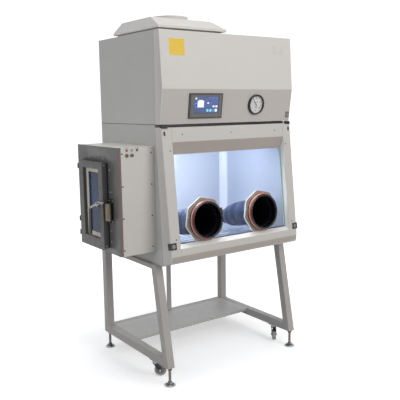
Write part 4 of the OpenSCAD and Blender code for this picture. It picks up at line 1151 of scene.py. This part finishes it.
loops = [rect_loop(*step) for step in (
    (LEAF, 2, DI, 5), (LEAF, 0, DI - 2, 6), (LEAF, 0, DO + 2.6, 6), (LEAF, 0.8, DO + 0.8, 5.4), (LEAF, 2.6, DO, 4.4),
    (PANE, -3, DO, 5), (PANE, -0.8, DO + 0.9, 4.4), (PANE, 0, DO + 3, 4), (PANE, 0, DI, 4), (LEAF, 2, DI, 5))]
bridge(loops)
bmesh.ops.remove_doubles(bm, verts=bm.verts, dist=0.01)
for z in (882, 967, 1292):
    lathe([(3.1, z + 0.3), (6.6, z + 0.3), (7, z + 0.8), (7, z + 14.8), (6.6, z + 15.3), (3.1, z + 15.3)],
          (*DOOR_HINGE, 0), 28)
    block((-765, 462, z + 0.8), (-758, 472, z + 14.8), 0.8, 2)
piece("outer_door_form", BODY, "airlock_door", DOOR_PAINT, "dark_paint", ("outer_door",), sharp=30)
keep("outer_door_glass", DOOR_GLASS)

# cream frame with a raised inner bead
BEAD = 25   # width of the cream frame
bridge([rect_loop(PANE, inset, DI - x, 4 if inset < 10 else 3) for inset, x in (
    (0.2, 7), (0.2, 10), (2.0, 12), (8, 12), (11, 10.4), (BEAD - 6, 9.8), (BEAD - 2.5, 11), (BEAD, 9.6), (BEAD, 6.2))])
piece("door_bead", BODY, "airlock_door", CREAM, "gasket_rubber", ("outer_door_gasket",), sharp=30)
for z in (Z0 + 14, Z1 - 14):
    lathe([(0, -1.8), (2.6, -1.5), (3.6, -0.6), (3.6, 0)], (-752, Y0, z), 18, 0, "Y")
piece("door_edge_screws", BODY, "airlock_door", ZINC, "dark_paint")
sweep([(LX - 1.6, 164, 834), (LX - 1.6, 164, 1324), (LX - 1.6, 458, 1324), (LX - 1.6, 458, 834),
           (LX - 1.6, 164, 834)], 1.3, 8)
block((LX - 2.6, 150, 832), (LX - 0.2, 164, 1326), 0.8, 2)
piece("door_seal", *CABINET, BLACK, "gasket_rubber")

refined("door_hinges", BLACK, "dark_paint", 0.8, 2, 6)
refined("inner_door", STEEL, "stainless", 1.0, 2, 10)

# handle: turned hub, flat crank and a hanging round grip
HY, HZ = 178, 1092   # the handle's axis
lathe([(14, -768.2), (14, -772), (13, -773.5), (11.5, -776), (11.5, -786), (13.5, -788), (14.2, -790),
           (14.2, -799), (12.8, -801.5), (9, -802.6), (0, -803)], (0, HY, HZ), 40, 0, "X")
block((-799.5, 108, HZ + 11), (-787, HY + 3, HZ + 21.5), 3, 3, 0)
block((-799.5, HY - 12, HZ - 1), (-787, HY + 6, HZ + 21.5), 3, 3, 0)
dome_tube(curve_points([(-793, HY, HZ), (-794.5, 210, 1083), (-795, 240, 1071), (-795, 262, 1061)], 6), 8.2, 20)
dome_tube(curve_points([(-795, 258, 1063), (-795, 266.5, 1054), (-795, 269, 1035), (-795, 272, 980),
                            (-795, 275, 930), (-795, 276, 909)], 6), 9.8, 20, 1)
lathe([(8.9, 1048), (9.6, 1047), (9.6, 1043), (8.9, 1042)], (-795, 268.5, 0), 24, 0)
piece("handle_form", BODY, "door_handle", [CHROME, BRONZE], "bright_metal", ("door_handle",))

# strike: a ribbed barrel on its backing plate
BARREL = (-755, 118)
prof = [(0, 1000), (15, 1000), (18, 1002)]
z = 1004
while z < 1097:
    prof += [(18.5, z), (18.5, z + 3.4), (16.8, z + 4.2), (16.8, z + 5.2)]
    z += 6.2
prof += [(18, 1098), (15, 1100), (0, 1100)]
lathe(prof, (*BARREL, 0), 40, 0)
piece("strike_barrel", *CABINET, BRASS, "black_plastic")
pad((-148, 982), (-94, 1124), 0, 4, 5, 1.2, 0)
for y, z in ((-101, 992), (-141, 992), (-101, 1114), (-141, 1114)):
    screw(y, z, 4, 2, 1, 4)
piece("strike_plate", END, "cabinet", [BLACK, ZINC], "black_plastic", ("latch_strike",))

# ---------- floor and light ----------

# the glow given here only turns the floor's glow on: its strength comes from the fade below
FLOOR = material("floor", (0.86, 0.86, 0.86), 0.8, 0.006, 0.4, 30, 3e-4, glow=0.72)
rows = []
path = [(-9, 0), (4.2, 0)] + [(4.2 + 2.2 * sin(a), 2.2 - 2.2 * cos(a))
                              for a in (radians(10 * k) for k in range(1, 10))] + [(6.4, 9)]
for d, z in path:
    rows.append([bm.verts.new(Vector((sin(az) * d + cos(az) * s, cos(az) * d - sin(az) * s, z))) for s in (-14, 14)])
for a, b in zip(rows, rows[1:]):
    bm.faces.new((a[0], a[1], b[1], b[0]))
me = bpy.data.meshes.new("studio_floor")
bm.to_mesh(me)
bm.free()
me.materials.append(FLOOR)
nt = FLOOR.node_tree
# the floor glows less near the stand, so that its soft shadow shows
where = nt.nodes.new("ShaderNodeNewGeometry")
away = nt.nodes.new("ShaderNodeVectorMath")
away.operation = "LENGTH"
nt.links.new(where.outputs["Position"], away.inputs[0])
fade = map_range(nt, away.outputs["Value"], (0.7, 2.2), (0.46, 0.85))
nt.links.new(fade, nt.nodes["Principled BSDF"].inputs["Emission Strength"])
for poly in me.polygons:
    poly.use_smooth = True
floor = bpy.data.objects.new("studio_floor", me)
scene.collection.objects.link(floor)
floor.visible_diffuse = False


def area(name, place, target, size, energy, color=(1, 1, 1), size_y=None):
    d = bpy.data.lights.new(name, "AREA")
    d.energy = energy
    d.color = color
    d.size = size
    if size_y:
        d.shape = "RECTANGLE"
        d.size_y = size_y
    ob = bpy.data.objects.new(name, d)
    scene.collection.objects.link(ob)
    ob.location = place
    ob.rotation_euler = (Vector(target) - Vector(place)).to_track_quat("-Z", "Y").to_euler()


area("key", (1.2, -4.4, 2.9), (0, 0, 1.15), 2.6, 110, (1, 0.98, 0.95))
area("fill", (-4.2, -0.8, 2.4), (0, 0, 1.2), 2.8, 38, (0.97, 0.985, 1))
area("top", (0, 0.2, 4.6), (0, 0, 0), 3.0, 46)
area("chamber_light", at(-90, 66, 1422), at(-140, 420, 960), 0.60, 6.8, (0.91, 0.94, 1), 0.03)
world = bpy.data.worlds.new("studio")
scene.world = world
world.use_nodes = True
# darker below the horizon, brighter above it
wn = world.node_tree
back = wn.nodes["Background"]
back.inputs["Color"].default_value = (0.95, 0.97, 1, 1)
coords = wn.nodes.new("ShaderNodeTexCoord")
split = wn.nodes.new("ShaderNodeSeparateXYZ")
wn.links.new(coords.outputs["Generated"], split.inputs["Vector"])
wn.links.new(map_range(wn, split.outputs["Z"], (-0.35, 0.25), (0.20, 0.46)), back.inputs["Strength"])
